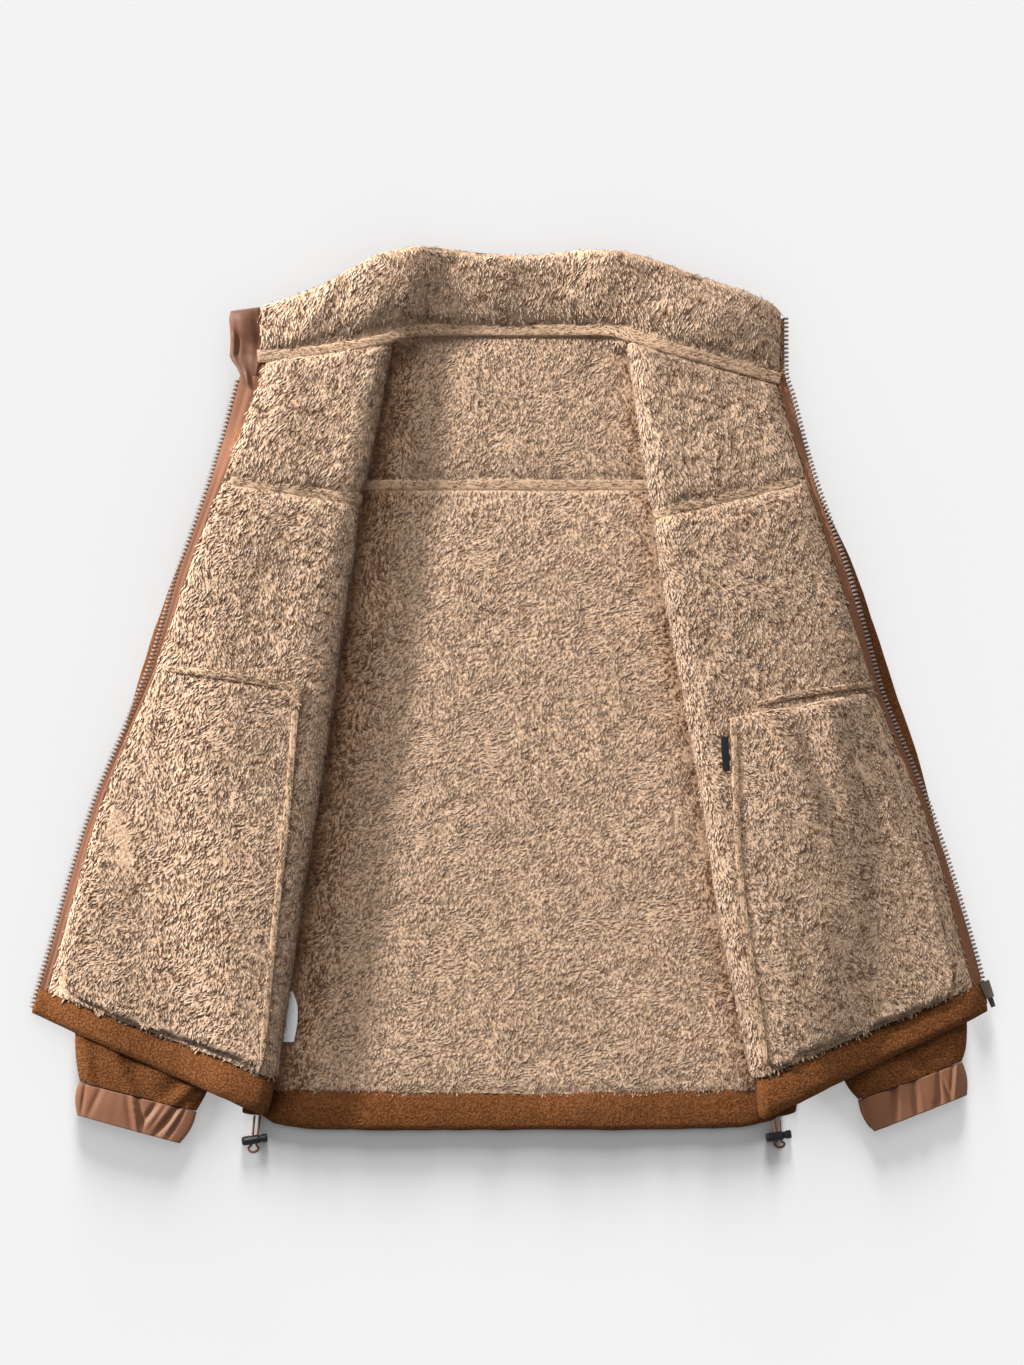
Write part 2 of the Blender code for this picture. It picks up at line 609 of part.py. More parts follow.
def sleeve_ring(side, t, share_of_depth=1.0):
    """A flattened tube across a sleeve, with most of its places where it comes down off the body's edge."""
    row = {name: along(values, t) for name, values in SLEEVES[side].items()}
    outer = np.array((row["outer_x"], row["outer_y"]))
    inner = np.array((row["inner_x"], row["inner_y"]))
    outward = -1.0 if side == "left" else 1.0
    low, high = 0.0, 1.0
    for _ in range(20):
        at_edge = (low + high) / 2
        x, y = inner + (outer - inner) * at_edge
        if (x - edge_x(FRONTS[side], "side_x", "side_y", y)) * outward < 0:
            low = at_edge
        else:
            high = at_edge
    at_edge = min(max(at_edge, 0.1), 0.8)
    places = [at_edge * k for k in (0.0, 0.03, 0.12, 0.45, 0.8, 1.0)]
    places += [at_edge + (1 - at_edge) * k for k in (0.16, 0.32, 0.5, 0.7, 0.88, 0.97, 1.0)]
    upper, lower = [], []
    for k in places:
        x, y = inner + (outer - inner) * k
        round_off = (1 - abs(2 * k - 1) ** 8) ** 0.5
        bottom = BODY_TOP + 2 * GAP - body_drop(side, x, y, SLEEVE_DRAPE)
        half = row["depth"] * share_of_depth / 2
        middle = bottom + row["depth"] / 2
        upper.append((x, y, middle + half * round_off))
        lower.append((x, y, middle - half * round_off))
    return upper + lower[-2:0:-1]


def make_sleeve(side, group, materials):
    last = len(SLEEVE_ROWS[side]) - 1
    rings = [sleeve_ring(side, 0.0, 0.5)] + [sleeve_ring(side, t) for t in np.linspace(0.08, last - 0.12, 15)]
    rings += [sleeve_ring(side, last, 0.9)]
    loft(f"sleeve_{side}", rings, group, materials["fleece"])

    top_outer, top_inner, low_outer, low_inner = (np.array(p, float) for p in CUFF_ENDS[side])
    count = 36
    wall_depth, slit = 4.6, 2.6

    def ring(along_cuff, wall_share, puff):
        outer = top_outer + (low_outer - top_outer) * along_cuff
        inner = top_inner + (low_inner - top_inner) * along_cuff
        centre, half_width = (outer + inner) / 2, np.linalg.norm(outer - inner) / 2
        direction = (outer - inner) / np.linalg.norm(outer - inner)
        ring_points = []
        for i in range(count):
            angle = 2 * math.pi * i / count
            gather = puff * math.sin(CUFF_GATHERS * angle + 2.0 * math.sin(angle))
            half_depth = slit / 2 + wall_depth * wall_share + gather * wall_share
            reach = half_width - (1 - wall_share) * wall_depth
            across = math.copysign(abs(math.cos(angle)) ** 0.8, math.cos(angle)) * reach
            rise = math.copysign(abs(math.sin(angle)) ** 0.5, math.sin(angle)) * half_depth
            middle = slit / 2 + wall_depth + 0.6
            x, y = centre + direction * across
            ring_points.append((x, y, middle + rise))
        return ring_points

    shift = GAP / 30.0
    rings = [ring(shift, 0.9, 0.4), ring(0.2, 1.0, 0.55), ring(0.6, 1.0, 0.6), ring(0.95, 1.0, 0.5)]
    rings += [ring(1.0, 0.7, 0.3), ring(0.98, 0.12, 0.0), ring(0.55, 0.1, 0.0)]
    loft(f"cuff_{side}", rings, group, materials["cuff"])


# Where each drawcord leaves the hem, where its lock sits and where its loop ends: x, then three y
CORD_PLACES = {"left": (-214.5, -354.5, -375.0, -386.0), "right": (226.5, -358.6, -372.0, -382.0)}
CORD_LEAN = {"left": 0.12, "right": -0.12}


def make_cord(side, group, material):
    """The drawcord's visible loop, from the hem through its lock and back, lying on the surface."""
    centre_x, hem_y, lock_y, end_y = CORD_PLACES[side]
    radius = CORD_DIAMETER / 2
    half_exit, half_lock, half_loop = 2.4, 2.0, 4.4
    marks = (
        (-half_exit, hem_y, 4.0), (-half_lock, lock_y + 5, 4.1), (-half_lock, lock_y, 4.1),
        (-half_lock, lock_y - 4.5, 3.9), (-half_loop, end_y + 3.6, 2.0), (-3.0, end_y + 1.0, 1.3),
        (0.0, end_y, 1.2),
    )
    marks += tuple((-x, y, z) for x, y, z in marks[-2::-1])
    columns = np.array(marks, float).T
    lean = CORD_LEAN[side]
    count = 25
    curve = bpy.data.curves.new(f"drawcord_{side}", "CURVE")
    curve.dimensions = "3D"
    curve.bevel_depth = radius * MM
    curve.bevel_resolution = 1
    curve.use_fill_caps = True
    spline = curve.splines.new("POLY")
    spline.points.add(count - 1)
    for i in range(count):
        t = i * (len(marks) - 1) / (count - 1)
        x, y, z = (along(column, t) for column in columns)
        spline.points[i].co = ((centre_x + x + lean * (y - hem_y)) * MM, y * MM, z * MM, 1.0)
    curve.materials.append(material)
    group.objects.link(bpy.data.objects.new(f"drawcord_{side}", curve))


def make_lock(side, group, cutters, material):
    """A barrel cord lock lying across the cord, with a slot that the cord's two strands run through."""
    centre_x, hem_y, lock_y, _ = CORD_PLACES[side]
    x = centre_x + CORD_LEAN[side] * (lock_y - hem_y)
    mesh = bpy.data.meshes.new(f"cord_lock_{side}")
    shape = bmesh.new()
    profile = ((-11, 2.6), (-10.2, 3.6), (-8, LOCK_RADIUS), (3.5, LOCK_RADIUS), (4.2, 3.1), (6.2, 3.1), (6.6, 3.7),
               (10.2, 3.7), (11, 2.8))
    sides = 14
    rings = []
    for along_x, radius in profile:
        ring = []
        for i in range(sides):
            angle = 2 * math.pi * i / sides
            ring.append(shape.verts.new((along_x * MM, radius * math.cos(angle) * MM, radius * math.sin(angle) * MM)))
        rings.append(ring)
    shape.faces.new(rings[0])
    shape.faces.new(rings[-1][::-1])
    for ring, after in zip(rings, rings[1:]):
        for i in range(sides):
            j = (i + 1) % sides
            shape.faces.new((ring[i], ring[j], after[j], after[i]))
    bmesh.ops.recalc_face_normals(shape, faces=shape.faces)
    shape.to_mesh(mesh)
    shape.free()
    mesh.materials.append(material)
    mesh.shade_smooth()
    mesh.set_sharp_from_angle(angle=math.radians(40))
    lock = bpy.data.objects.new(f"cord_lock_{side}", mesh)
    lock.location = (x * MM, lock_y * MM, (LOCK_RADIUS + 0.1) * MM)
    lock.rotation_euler = (0, 0, math.radians(9))
    group.objects.link(lock)

    slot_mesh = bpy.data.meshes.new(f"slot_{side}")
    slot_shape = bmesh.new()
    bmesh.ops.create_cube(slot_shape, size=1.0)
    bmesh.ops.scale(slot_shape, vec=(7.6 * MM, 16 * MM, 2.9 * MM), verts=slot_shape.verts)
    slot_shape.to_mesh(slot_mesh)
    slot_shape.free()
    slot = bpy.data.objects.new(f"slot_{side}", slot_mesh)
    slot.location = lock.location
    slot.hide_render = True
    slot.display_type = "WIRE"
    cutters.objects.link(slot)
    cut = lock.modifiers.new("slot", "BOOLEAN")
    cut.operation = "DIFFERENCE"
    cut.object = slot


def box_mesh(name, size, bevel, group, material):
    """A box with its scale in the mesh and rounded edges."""
    mesh = bpy.data.meshes.new(name)
    shape = bmesh.new()
    bmesh.ops.create_cube(shape, size=1.0)
    bmesh.ops.scale(shape, vec=tuple(side * MM for side in size), verts=shape.verts)
    shape.to_mesh(mesh)
    shape.free()
    mesh.materials.append(material)
    obj = bpy.data.objects.new(name, mesh)
    group.objects.link(obj)
    if bevel:
        edge = obj.modifiers.new("rounded", "BEVEL")
        edge.width = bevel * MM
        edge.segments = 2
    return obj


def cylinder_along_x(name, radius, length, group, material):
    mesh = bpy.data.meshes.new(name)
    shape = bmesh.new()
    bmesh.ops.create_cone(
        shape, cap_ends=True, segments=16, radius1=radius * MM, radius2=radius * MM, depth=length * MM
    )
    for vert in shape.verts:
        vert.co = Vector((vert.co.z, vert.co.y, -vert.co.x))
    bmesh.ops.recalc_face_normals(shape, faces=shape.faces)
    shape.to_mesh(mesh)
    shape.free()
    mesh.materials.append(material)
    obj = bpy.data.objects.new(name, mesh)
    group.objects.link(obj)
    return obj


def join_by_boolean(obj, tool, operation):
    tool.hide_render = True
    tool.display_type = "WIRE"
    modifier = obj.modifiers.new(operation.lower(), "BOOLEAN")
    modifier.operation = operation
    modifier.object = tool


def make_slider(group, cutters, metal):
    """The slider at the foot of the right zip, and its pull, which turns on a bar under it."""
    x, y = SLIDER_PLACE
    chain_z = front_point("right", 3.93, LINING_END - 0.05, GAP + 0.6)[2]
    axis_z = chain_z - SLIDER_DEPTH / 2 - PULL_DROP
    print(f"pull axis at {x}, {y}, {axis_z:.3f}")
    carrier = bpy.data.objects.new("slider_place", None)
    carrier.location = Vector((x, y, axis_z)) * MM
    carrier.rotation_euler = (0, 0, math.radians(PULL_TURN))
    group.objects.link(carrier)

    body = box_mesh("zip_slider", (SLIDER_WIDTH, SLIDER_LENGTH, SLIDER_DEPTH), 0, group, metal)
    for vert in body.data.vertices:
        if vert.co.y < 0:
            vert.co.x *= 0.8
    body.parent = carrier
    body.location = (0, 0, (PULL_DROP + SLIDER_DEPTH / 2) * MM)
    for sign in (-1, 1):
        post = box_mesh(f"slider_post_{sign + 1}", (1.3, 2.4, 4.2), 0, cutters, metal)
        post.parent = carrier
        post.location = (sign * 3.2 * MM, 0, 1.2 * MM)
        join_by_boolean(body, post, "UNION")
    bar = cylinder_along_x("slider_bar", 0.75, 6.6, cutters, metal)
    bar.parent = carrier
    join_by_boolean(body, bar, "UNION")

    pull = box_mesh("zip_pull", (5.4, 14.4, 1.5), 0, group, metal)
    for vert in pull.data.vertices:
        vert.co.y -= 8.8 * MM
        if vert.co.y < -10 * MM:
            vert.co.x *= 0.72
    pull.parent = carrier
    knuckle = cylinder_along_x("pull_knuckle", 1.75, 4.4, cutters, metal)
    knuckle.parent = carrier
    join_by_boolean(pull, knuckle, "UNION")
    bore = cylinder_along_x("pull_bore", 1.1, 12.0, cutters, metal)
    bore.parent = carrier
    join_by_boolean(pull, bore, "DIFFERENCE")


def make_labels(group, materials):
    """A small folded label beside the right pocket's binding, and the care label under the left front."""
    base = front_pile("right")
    wall(
        "side_label", lambda s, t, w: front_point("right", s, t, w), even(2.03, 2.078, 2),
        even(POCKET_TOP + 0.12, POCKET_TOP + 0.46, 5), lambda s, t: GAP + base(s, t) + 0.8, 1.2,
        group, materials["black"],
    )

    def care_place(k, row, w):
        y = -246.0 - 46.0 * row
        fold_x = edge_x(FRONTS["left"], "fold_x", "fold_y", y)
        width = 6.0 + 9.5 * math.sin(math.pi * (0.12 + 0.7 * row))
        return np.array((fold_x - 5.0 + width * k, y, BACK_TOP + 0.5 + 0.9 * k + w))

    wall("care_label", care_place, even(0.0, 1.0, 4), even(0.0, 1.0, 7), 0.0, 0.5, group, materials["white"])


def main():
    clear_scene()
    jacket = collection_of("fleece_jacket")
    cutters = collection_of("cutters", hidden=True)
    materials = {
        "fleece": material_of("brown fleece", "fleece", 0.95),
        "sherpa": material_of("sand sherpa", "sherpa", 0.98),
        "cuff": material_of("smooth woven cuff", "cuff", 0.55),
        "tape": material_of("sand tape", "tape", 0.85),
        "zip_tape": material_of("zip tape", "zip_tape", 0.8),
        "zip_metal": material_of("zip teeth and slider", "zip_metal", 0.4, 0.2),
        "black": material_of("black plastic", "black", 0.3),
        "white": material_of("white label satin", "white", 0.6),
    }
    make_back(jacket, materials)
    make_back_hem(jacket, materials["fleece"])
    for side in ("left", "right"):
        make_front(side, jacket, materials)
        make_sleeve(side, jacket, materials)
        make_cord(side, jacket, materials["zip_tape"])
        make_lock(side, jacket, cutters, materials["black"])
    make_collar(jacket, materials)
    make_chin_guard(jacket, materials["cuff"])
    make_slider(jacket, cutters, materials["zip_metal"])
    make_labels(jacket, materials)
    for obj in bpy.data.objects:
        if obj.parent is None:
            obj.location -= Vector((*CENTRE, 0.0)) * MM


main()
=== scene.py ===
# Sherpa-lined fleece jacket, laid open with its inside up: the cloth, pile, zip and trims round the CAD part.
# Sizes are in millimetres and turned into metres by mm. Those of the finishes, of the rules for pile and
# teeth, and the flat sizes of cuts are in metres. X is the viewer's right, Y runs from hem to collar.
import json
import math

import bmesh
import bpy
import numpy as np
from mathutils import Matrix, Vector, noise
from mathutils.bvhtree import BVHTree

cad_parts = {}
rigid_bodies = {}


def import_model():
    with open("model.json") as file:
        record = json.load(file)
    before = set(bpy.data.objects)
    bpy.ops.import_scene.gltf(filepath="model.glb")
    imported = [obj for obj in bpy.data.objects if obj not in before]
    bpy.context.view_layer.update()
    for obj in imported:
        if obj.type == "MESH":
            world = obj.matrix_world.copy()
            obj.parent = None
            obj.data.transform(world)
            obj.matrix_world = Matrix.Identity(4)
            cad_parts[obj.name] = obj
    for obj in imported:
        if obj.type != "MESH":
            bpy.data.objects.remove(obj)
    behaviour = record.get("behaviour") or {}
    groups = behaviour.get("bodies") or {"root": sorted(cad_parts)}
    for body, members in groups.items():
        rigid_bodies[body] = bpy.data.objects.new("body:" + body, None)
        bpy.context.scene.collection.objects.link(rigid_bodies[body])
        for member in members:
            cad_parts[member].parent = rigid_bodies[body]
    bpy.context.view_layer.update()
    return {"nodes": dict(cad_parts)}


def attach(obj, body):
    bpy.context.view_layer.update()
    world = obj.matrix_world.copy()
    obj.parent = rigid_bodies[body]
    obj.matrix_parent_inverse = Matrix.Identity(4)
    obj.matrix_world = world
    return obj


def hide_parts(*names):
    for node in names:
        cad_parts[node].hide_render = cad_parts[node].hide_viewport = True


mm = 0.001

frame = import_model()
nodes = frame["nodes"]
print("frame loaded:", len(nodes), "nodes")

# Camera and light

view = {"height": 1160.3, "x": -0.86, "y": 10.9, "distance": 5200.0}
sky = 0.37
highPieces = ("LiningFront", "LiningChest", "Pocket", "OuterFront", "HemFront", "ZipTape", "ZipChain")
smallPieces = ("Sleeve", "Cuff", "cord_lock", "drawcord", "zip_", "HemEnd", "ChinGuard")
# The floor has lamps of its own behind the collar, so the shadow falls below the hem. The pieces that a lamp
# lists as clear cast none in its light
lamps = {
    "leftSoftbox": {"azimuth": 152.0, "elevation": 22.0, "strength": 6.0, "distance": 3.6, "size": 0.36,
                    "onFloor": False},
    "topSoftbox": {"azimuth": 96.0, "elevation": 36.0, "strength": 2.4, "angle": 34.0, "onFloor": False},
    "floorLow": {"azimuth": 90.0, "elevation": 7.0, "strength": 11.6, "angle": 8.0, "onFloor": True,
                 "clear": highPieces + smallPieces},
    "floorHigh": {"azimuth": 90.0, "elevation": 12.0, "strength": 7.55, "angle": 18.0, "onFloor": True,
                  "clear": highPieces},
    "floorWide": {"azimuth": 90.0, "elevation": 38.0, "strength": 0.69, "angle": 60.0, "onFloor": True},
}


def placeCamera():
    data = bpy.data.cameras.new("overhead")
    data.sensor_fit = "VERTICAL"
    data.sensor_height = 24.0
    data.lens = 24.0 * view["distance"] / view["height"]
    data.clip_end = 50.0
    camera = bpy.data.objects.new("overhead", data)
    camera.location = (view["x"] * mm, view["y"] * mm, view["distance"] * mm)
    bpy.context.scene.collection.objects.link(camera)
    bpy.context.scene.camera = camera


def placeLights():
    world = bpy.data.worlds.new("studio")
    world.use_nodes = True
    background = world.node_tree.nodes["Background"]
    background.inputs["Color"].default_value = (1.0, 1.0, 1.0, 1.0)
    background.inputs["Strength"].default_value = sky
    bpy.context.scene.world = world
    for name, look in lamps.items():
        near = "distance" in look
        data = bpy.data.lights.new(name, "AREA" if near else "SUN")
        if near:
            data.shape = "DISK"
            data.size = look["size"]
            data.energy = 4 * look["strength"] * look["distance"] ** 2  # strength then compares with a sun's
        else:
            data.energy = look["strength"]
            data.angle = math.radians(look["angle"])
        lamp = bpy.data.objects.new(name, data)
        azimuth, elevation = math.radians(look["azimuth"]), math.radians(look["elevation"])
        level = math.cos(elevation)
        towards = Vector((math.cos(azimuth) * level, math.sin(azimuth) * level, math.sin(elevation)))
        lamp.rotation_euler = towards.to_track_quat("Z", "Y").to_euler()
        lamp.location = towards * look.get("distance", 1.0)
        lamp.visible_camera = False
        bpy.context.scene.collection.objects.link(lamp)


def linkLights(floor):
    for name, look in lamps.items():
        receivers = bpy.data.collections.new(name + "Receivers")
        receivers.objects.link(floor)
        receivers.collection_objects[0].light_linking.link_state = "INCLUDE" if look["onFloor"] else "EXCLUDE"
        linking = bpy.data.objects[name].light_linking
        linking.receiver_collection = receivers
        if look.get("clear"):
            linking.blocker_collection = bpy.data.collections.new(name + "Clear")
            for piece in [o for o in bpy.data.objects if o.name.startswith(look["clear"])]:
                linking.blocker_collection.objects.link(piece)
            for member in linking.blocker_collection.collection_objects:
                member.light_linking.link_state = "EXCLUDE"


bpy.context.scene.view_settings.view_transform = "Standard"
placeCamera()
placeLights()
print("camera and light placed")

# Node helpers


def socketOf(sockets, name):
    return next(s for s in sockets if s.name == name and s.enabled)


# inputs go by name or number. Each is a value, or the socket that feeds it
def addNode(tree, kind, inputs=None, **settings):
    node = tree.nodes.new(kind)
    for key, value in settings.items():
        setattr(node, key, value)
    for name, value in (inputs or {}).items():
        socket = node.inputs[name] if isinstance(name, int) else socketOf(node.inputs, name)
        if isinstance(value, bpy.types.NodeSocket):
            tree.links.new(value, socket)
        else:
            socket.default_value = value
    return node


def calc(tree, operation, *values):
    return addNode(tree, "ShaderNodeMath", dict(enumerate(values)), operation=operation).outputs[0]


def vectorCalc(tree, operation, *values):
    names = (0, "Scale") if operation == "SCALE" else (0, 1)
    return addNode(tree, "ShaderNodeVectorMath", dict(zip(names, values)), operation=operation).outputs[0]


def mapRange(tree, value, low, high, newLow=0.0, newHigh=1.0):
    inputs = {"Value": value, "From Min": low, "From Max": high, "To Min": newLow, "To Max": newHigh}
    return addNode(tree, "ShaderNodeMapRange", inputs).outputs[0]


# output 0 is a number, 1 a vector
def noiseAt(tree, place, scale, detail, output=0):
    inputs = {"Vector": place, "Scale": scale, "Detail": detail}
    return addNode(tree, "ShaderNodeTexNoise", inputs).outputs[output]


def axesOf(tree, vector):
    return tuple(addNode(tree, "ShaderNodeSeparateXYZ", {"Vector": vector}).outputs)


def joinAxes(tree, x, y, z):
    return addNode(tree, "ShaderNodeCombineXYZ", {"X": x, "Y": y, "Z": z}).outputs[0]


def asColour(value):
    return value if isinstance(value, bpy.types.NodeSocket) else (*value, 1.0)


def mixColour(tree, factor, first, second, blend="MIX"):
    inputs = {"Factor": factor, "A": asColour(first), "B": asColour(second)}
    node = addNode(tree, "ShaderNodeMix", inputs, data_type="RGBA", blend_type=blend)
    return socketOf(node.outputs, "Result")


# kind is a tree type, inputs are (name, socket type, default) rows and outputs (name, socket type) rows
def newGroup(kind, name, inputs, outputs):
    tree = bpy.data.node_groups.new(name, kind)
    for label, socketType, default in inputs:
        socket = tree.interface.new_socket(label, in_out="INPUT", socket_type=socketType)
        if default is not None:
            socket.default_value = default
    for label, socketType in outputs:
        tree.interface.new_socket(label, in_out="OUTPUT", socket_type=socketType)
    return tree, addNode(tree, "NodeGroupInput").outputs, addNode(tree, "NodeGroupOutput").inputs


def groupNode(tree, group, inputs):
    return addNode(tree, "ShaderNodeGroup", inputs, node_tree=group).outputs


def objectPlace(tree):
    return addNode(tree, "ShaderNodeTexCoord").outputs["Object"]


def markFor(tree, name, output="Fac"):
    return addNode(tree, "ShaderNodeAttribute", attribute_name=name).outputs[output]


# Finishes, with their sizes in metres

colours = {
    "pileTip": (0.65, 0.466, 0.342),
    "pileRoot": (0.42, 0.275, 0.175),
    "liftedTip": (0.735, 0.527, 0.387),  # lighter than the other pile: painted light for the stronger light on the collar
    "liftedRoot": (0.475, 0.311, 0.198),
    "pileCloth": (0.38, 0.24, 0.145),
    "seamTip": (0.5, 0.338, 0.222),
    "seamRoot": (0.33, 0.208, 0.128),
    "fleece": (0.096, 0.032, 0.0085),
    "fleeceWorn": (0.215, 0.085, 0.03),
    "facing": (0.19, 0.078, 0.036),
    "facingWorn": (0.3, 0.14, 0.07),
    "cuff": (0.18, 0.072, 0.033),
    "cuffShade": (0.16, 0.063, 0.028),
    "chin": (0.12, 0.045, 0.021),
    "tape": (0.5, 0.33, 0.212),
    "tapeShade": (0.38, 0.24, 0.145),
    "zipTape": (0.19, 0.076, 0.034),
    "zipTapeShade": (0.14, 0.053, 0.023),
    "teeth": (0.2, 0.155, 0.135),
    "slider": (0.11, 0.082, 0.068),
    "black": (0.012, 0.012, 0.014),
    "label": (0.72, 0.74, 0.76),
    "floor": (0.61, 0.61, 0.61),
}

# nook and closed give the painted shade in the nap's nooks: its colour, and the nook value where it is full
napLook = {"pillShare": 0.65, "tips": (0.44, 0.58), "wear": 0.75, "nook": (0.5, 0.42, 0.36), "closed": 0.6,
           "patchScale": 22.0, "detail": 3.0, "patches": (0.88, 1.1)}
weaveLook = {"wobbleScale": 900.0, "wobble": 2.5, "ribShare": 0.7}
# The pile parts into clumps: cells, squashed in height and bent by a noise
clumpLook = {"size": 0.0078, "squash": (1.0, 1.0, 0.2), "warpScale": 150.0, "warp": 0.006}
crackLook = {"inner": 0.03, "width": 0.2, "fadeScale": 90.0, "fade": (0.42, 0.56), "faintest": 0.1}
# crack is the colour of the painted shade in the cracks between clumps, nook and closed that of the painted
# shade in nooks and the nook value where it is full
pileShade = {"rootToTip": (0.1, 0.75), "crack": (0.25, 0.14, 0.075), "nook": (0.41, 0.28, 0.18),
             "closed": 0.27, "tints": (0.93, 1.12), "patchScale": 110.0, "detail": 2.0,
             "patches": (0.84, 1.12)}


# Short brushed fibre: a soft height and a mask of worn tips
def makeNapGroup():
    tree, given, out = newGroup(
        "ShaderNodeTree", "brushedNap",
        [("Pill Size", "NodeSocketFloat", 0.003), ("Fibre Size", "NodeSocketFloat", 0.0006)],
        [("Height", "NodeSocketFloat"), ("Tips", "NodeSocketFloat")],
    )
    place = objectPlace(tree)
    pills = noiseAt(tree, place, calc(tree, "DIVIDE", 1.0, given["Pill Size"]), 2.0)
    fibres = noiseAt(tree, place, calc(tree, "DIVIDE", 1.0, given["Fibre Size"]), 3.0)
    height = calc(tree, "ADD", calc(tree, "MULTIPLY", pills, napLook["pillShare"]),
                  calc(tree, "MULTIPLY", fibres, 1.0 - napLook["pillShare"]))
    tree.links.new(height, out["Height"])
    tree.links.new(mapRange(tree, height, *napLook["tips"]), out["Tips"])
    return tree


# Fine ribs of a woven tape or cloth, across a chosen direction
def makeWeaveGroup():
    tree, given, out = newGroup(
        "ShaderNodeTree", "wovenRibs",
        [("Rib Size", "NodeSocketFloat", 0.0008), ("Turn", "NodeSocketFloat", 0.0)],
        [("Height", "NodeSocketFloat"), ("Mask", "NodeSocketFloat")],
    )
    place = objectPlace(tree)
    turned = addNode(tree, "ShaderNodeVectorRotate", {"Vector": place, "Angle": given["Turn"]},
                     rotation_type="Z_AXIS")
    across = calc(tree, "DIVIDE", axesOf(tree, turned.outputs[0])[0], given["Rib Size"])
    wobble = noiseAt(tree, place, weaveLook["wobbleScale"], 2.0)
    phase = calc(tree, "ADD", calc(tree, "MULTIPLY", across, 2 * math.pi),
                 calc(tree, "MULTIPLY", wobble, weaveLook["wobble"]))
    mask = mapRange(tree, calc(tree, "SINE", phase), -1.0, 1.0)
    height = calc(tree, "ADD", calc(tree, "MULTIPLY", mask, weaveLook["ribShare"]),
                  calc(tree, "MULTIPLY", wobble, 1.0 - weaveLook["ribShare"]))
    tree.links.new(height, out["Height"])
    tree.links.new(mask, out["Mask"])
    return tree


# Painted shade: cloth in a nook sees little but cloth, so its colour is drawn towards a deeper and warmer
# shade colour as its nook value grows
def makeNookGroup():
    tree, given, out = newGroup(
        "ShaderNodeTree", "nookShade",
        [("Colour", "NodeSocketColor", (1.0, 1.0, 1.0, 1.0)),
         ("Shade", "NodeSocketColor", (1.0, 1.0, 1.0, 1.0)),
         ("Open", "NodeSocketFloat", 0.03), ("Closed", "NodeSocketFloat", 0.4)],
        [("Colour", "NodeSocketColor")],
    )
    amount = mapRange(tree, markFor(tree, "nook"), given["Open"], given["Closed"])
    shaded = mixColour(tree, 1.0, given["Colour"], given["Shade"], "MULTIPLY")
    tree.links.new(mixColour(tree, amount, given["Colour"], shaded), out["Colour"])
    return tree


# How far a place is from the edge of its clump. The painted shade in the cracks and the locks' sizes share it
def clumpEdge(tree, low, size):
    bend = vectorCalc(tree, "SCALE", noiseAt(tree, low, clumpLook["warpScale"], 1.0, 1), clumpLook["warp"])
    inputs = {"Vector": vectorCalc(tree, "ADD", low, bend), "Scale": calc(tree, "DIVIDE", 1.0, size)}
    return addNode(tree, "ShaderNodeTexVoronoi", inputs, feature="DISTANCE_TO_EDGE").outputs[0]


# Painted shade in thin dark cracks where the pile parts into clumps, here and there
def makeCrackGroup():
    tree, given, out = newGroup(
        "ShaderNodeTree", "clumpCracks",
        [("Size", "NodeSocketFloat", 0.007), ("Width", "NodeSocketFloat", 0.1)],
        [("Crack", "NodeSocketFloat")],
    )
    low = vectorCalc(tree, "MULTIPLY", objectPlace(tree), clumpLook["squash"])
    line = mapRange(tree, clumpEdge(tree, low, given["Size"]), crackLook["inner"], given["Width"], 1.0, 0.0)
    fade = noiseAt(tree, low, crackLook["fadeScale"], 1.0)
    fade = mapRange(tree, fade, *crackLook["fade"], crackLook["faintest"], 1.0)
    tree.links.new(calc(tree, "MULTIPLY", line, fade), out["Crack"])
    return tree


napGroup = makeNapGroup()
crackGroup = makeCrackGroup()
nookGroup = makeNookGroup()
weaveGroup = makeWeaveGroup()


# Draws a colour towards the painted shade where the nook value is high
def shadeNooks(tree, colour, look):
    inputs = {"Colour": colour, "Shade": asColour(look["nook"]), "Closed": look["closed"]}
    return groupNode(tree, nookGroup, inputs)["Colour"]


# Slow unevenness of a colour in patches
def patchy(tree, look):
    uneven = noiseAt(tree, objectPlace(tree), look["patchScale"], look["detail"])
    return mapRange(tree, uneven, 0.3, 0.7, *look["patches"])


def newMaterial(name, roughness, sheen=0.0, metallic=0.0, specular=0.3):
    material = bpy.data.materials.new(name)
    material.use_nodes = True
    shader = material.node_tree.nodes["Principled BSDF"]
    shader.inputs["Roughness"].default_value = roughness
    shader.inputs["Metallic"].default_value = metallic
    shader.inputs["Sheen Weight"].default_value = sheen
    shader.inputs["Specular IOR Level"].default_value = specular
    return material, material.node_tree, shader


def bumpInto(tree, shader, height, distance):
    bump = addNode(tree, "ShaderNodeBump", {"Height": height, "Distance": distance, "Strength": 1.0})
    tree.links.new(bump.outputs[0], shader.inputs["Normal"])


# Brushed nap: its colour, with worn tips, painted shade in nooks and patches
def napMaterial(name, base, worn, pill, fibre, depth, roughness=0.95, sheen=0.06):
    material, tree, shader = newMaterial(name, roughness, sheen, specular=0.1)
    nap = groupNode(tree, napGroup, {"Pill Size": pill, "Fibre Size": fibre})
    wear = calc(tree, "MULTIPLY", nap["Tips"], napLook["wear"])
    colour = shadeNooks(tree, mixColour(tree, wear, colours[base], colours[worn]), napLook)
    tree.links.new(vectorCalc(tree, "SCALE", colour, patchy(tree, napLook)), shader.inputs["Base Color"])
    bumpInto(tree, shader, nap["Height"], depth)
    return material


# Woven cloth: the grooves between its ribs take the shade colour, as painted shade
def weaveMaterial(name, base, shade, rib, turn, depth, roughness=0.7, sheen=0.1):
    material, tree, shader = newMaterial(name, roughness, sheen)
    weave = groupNode(tree, weaveGroup, {"Rib Size": rib, "Turn": turn})
    colour = mixColour(tree, weave["Mask"], colours[shade], colours[base])
    tree.links.new(colour, shader.inputs["Base Color"])
    bumpInto(tree, shader, weave["Height"], depth)
    return material
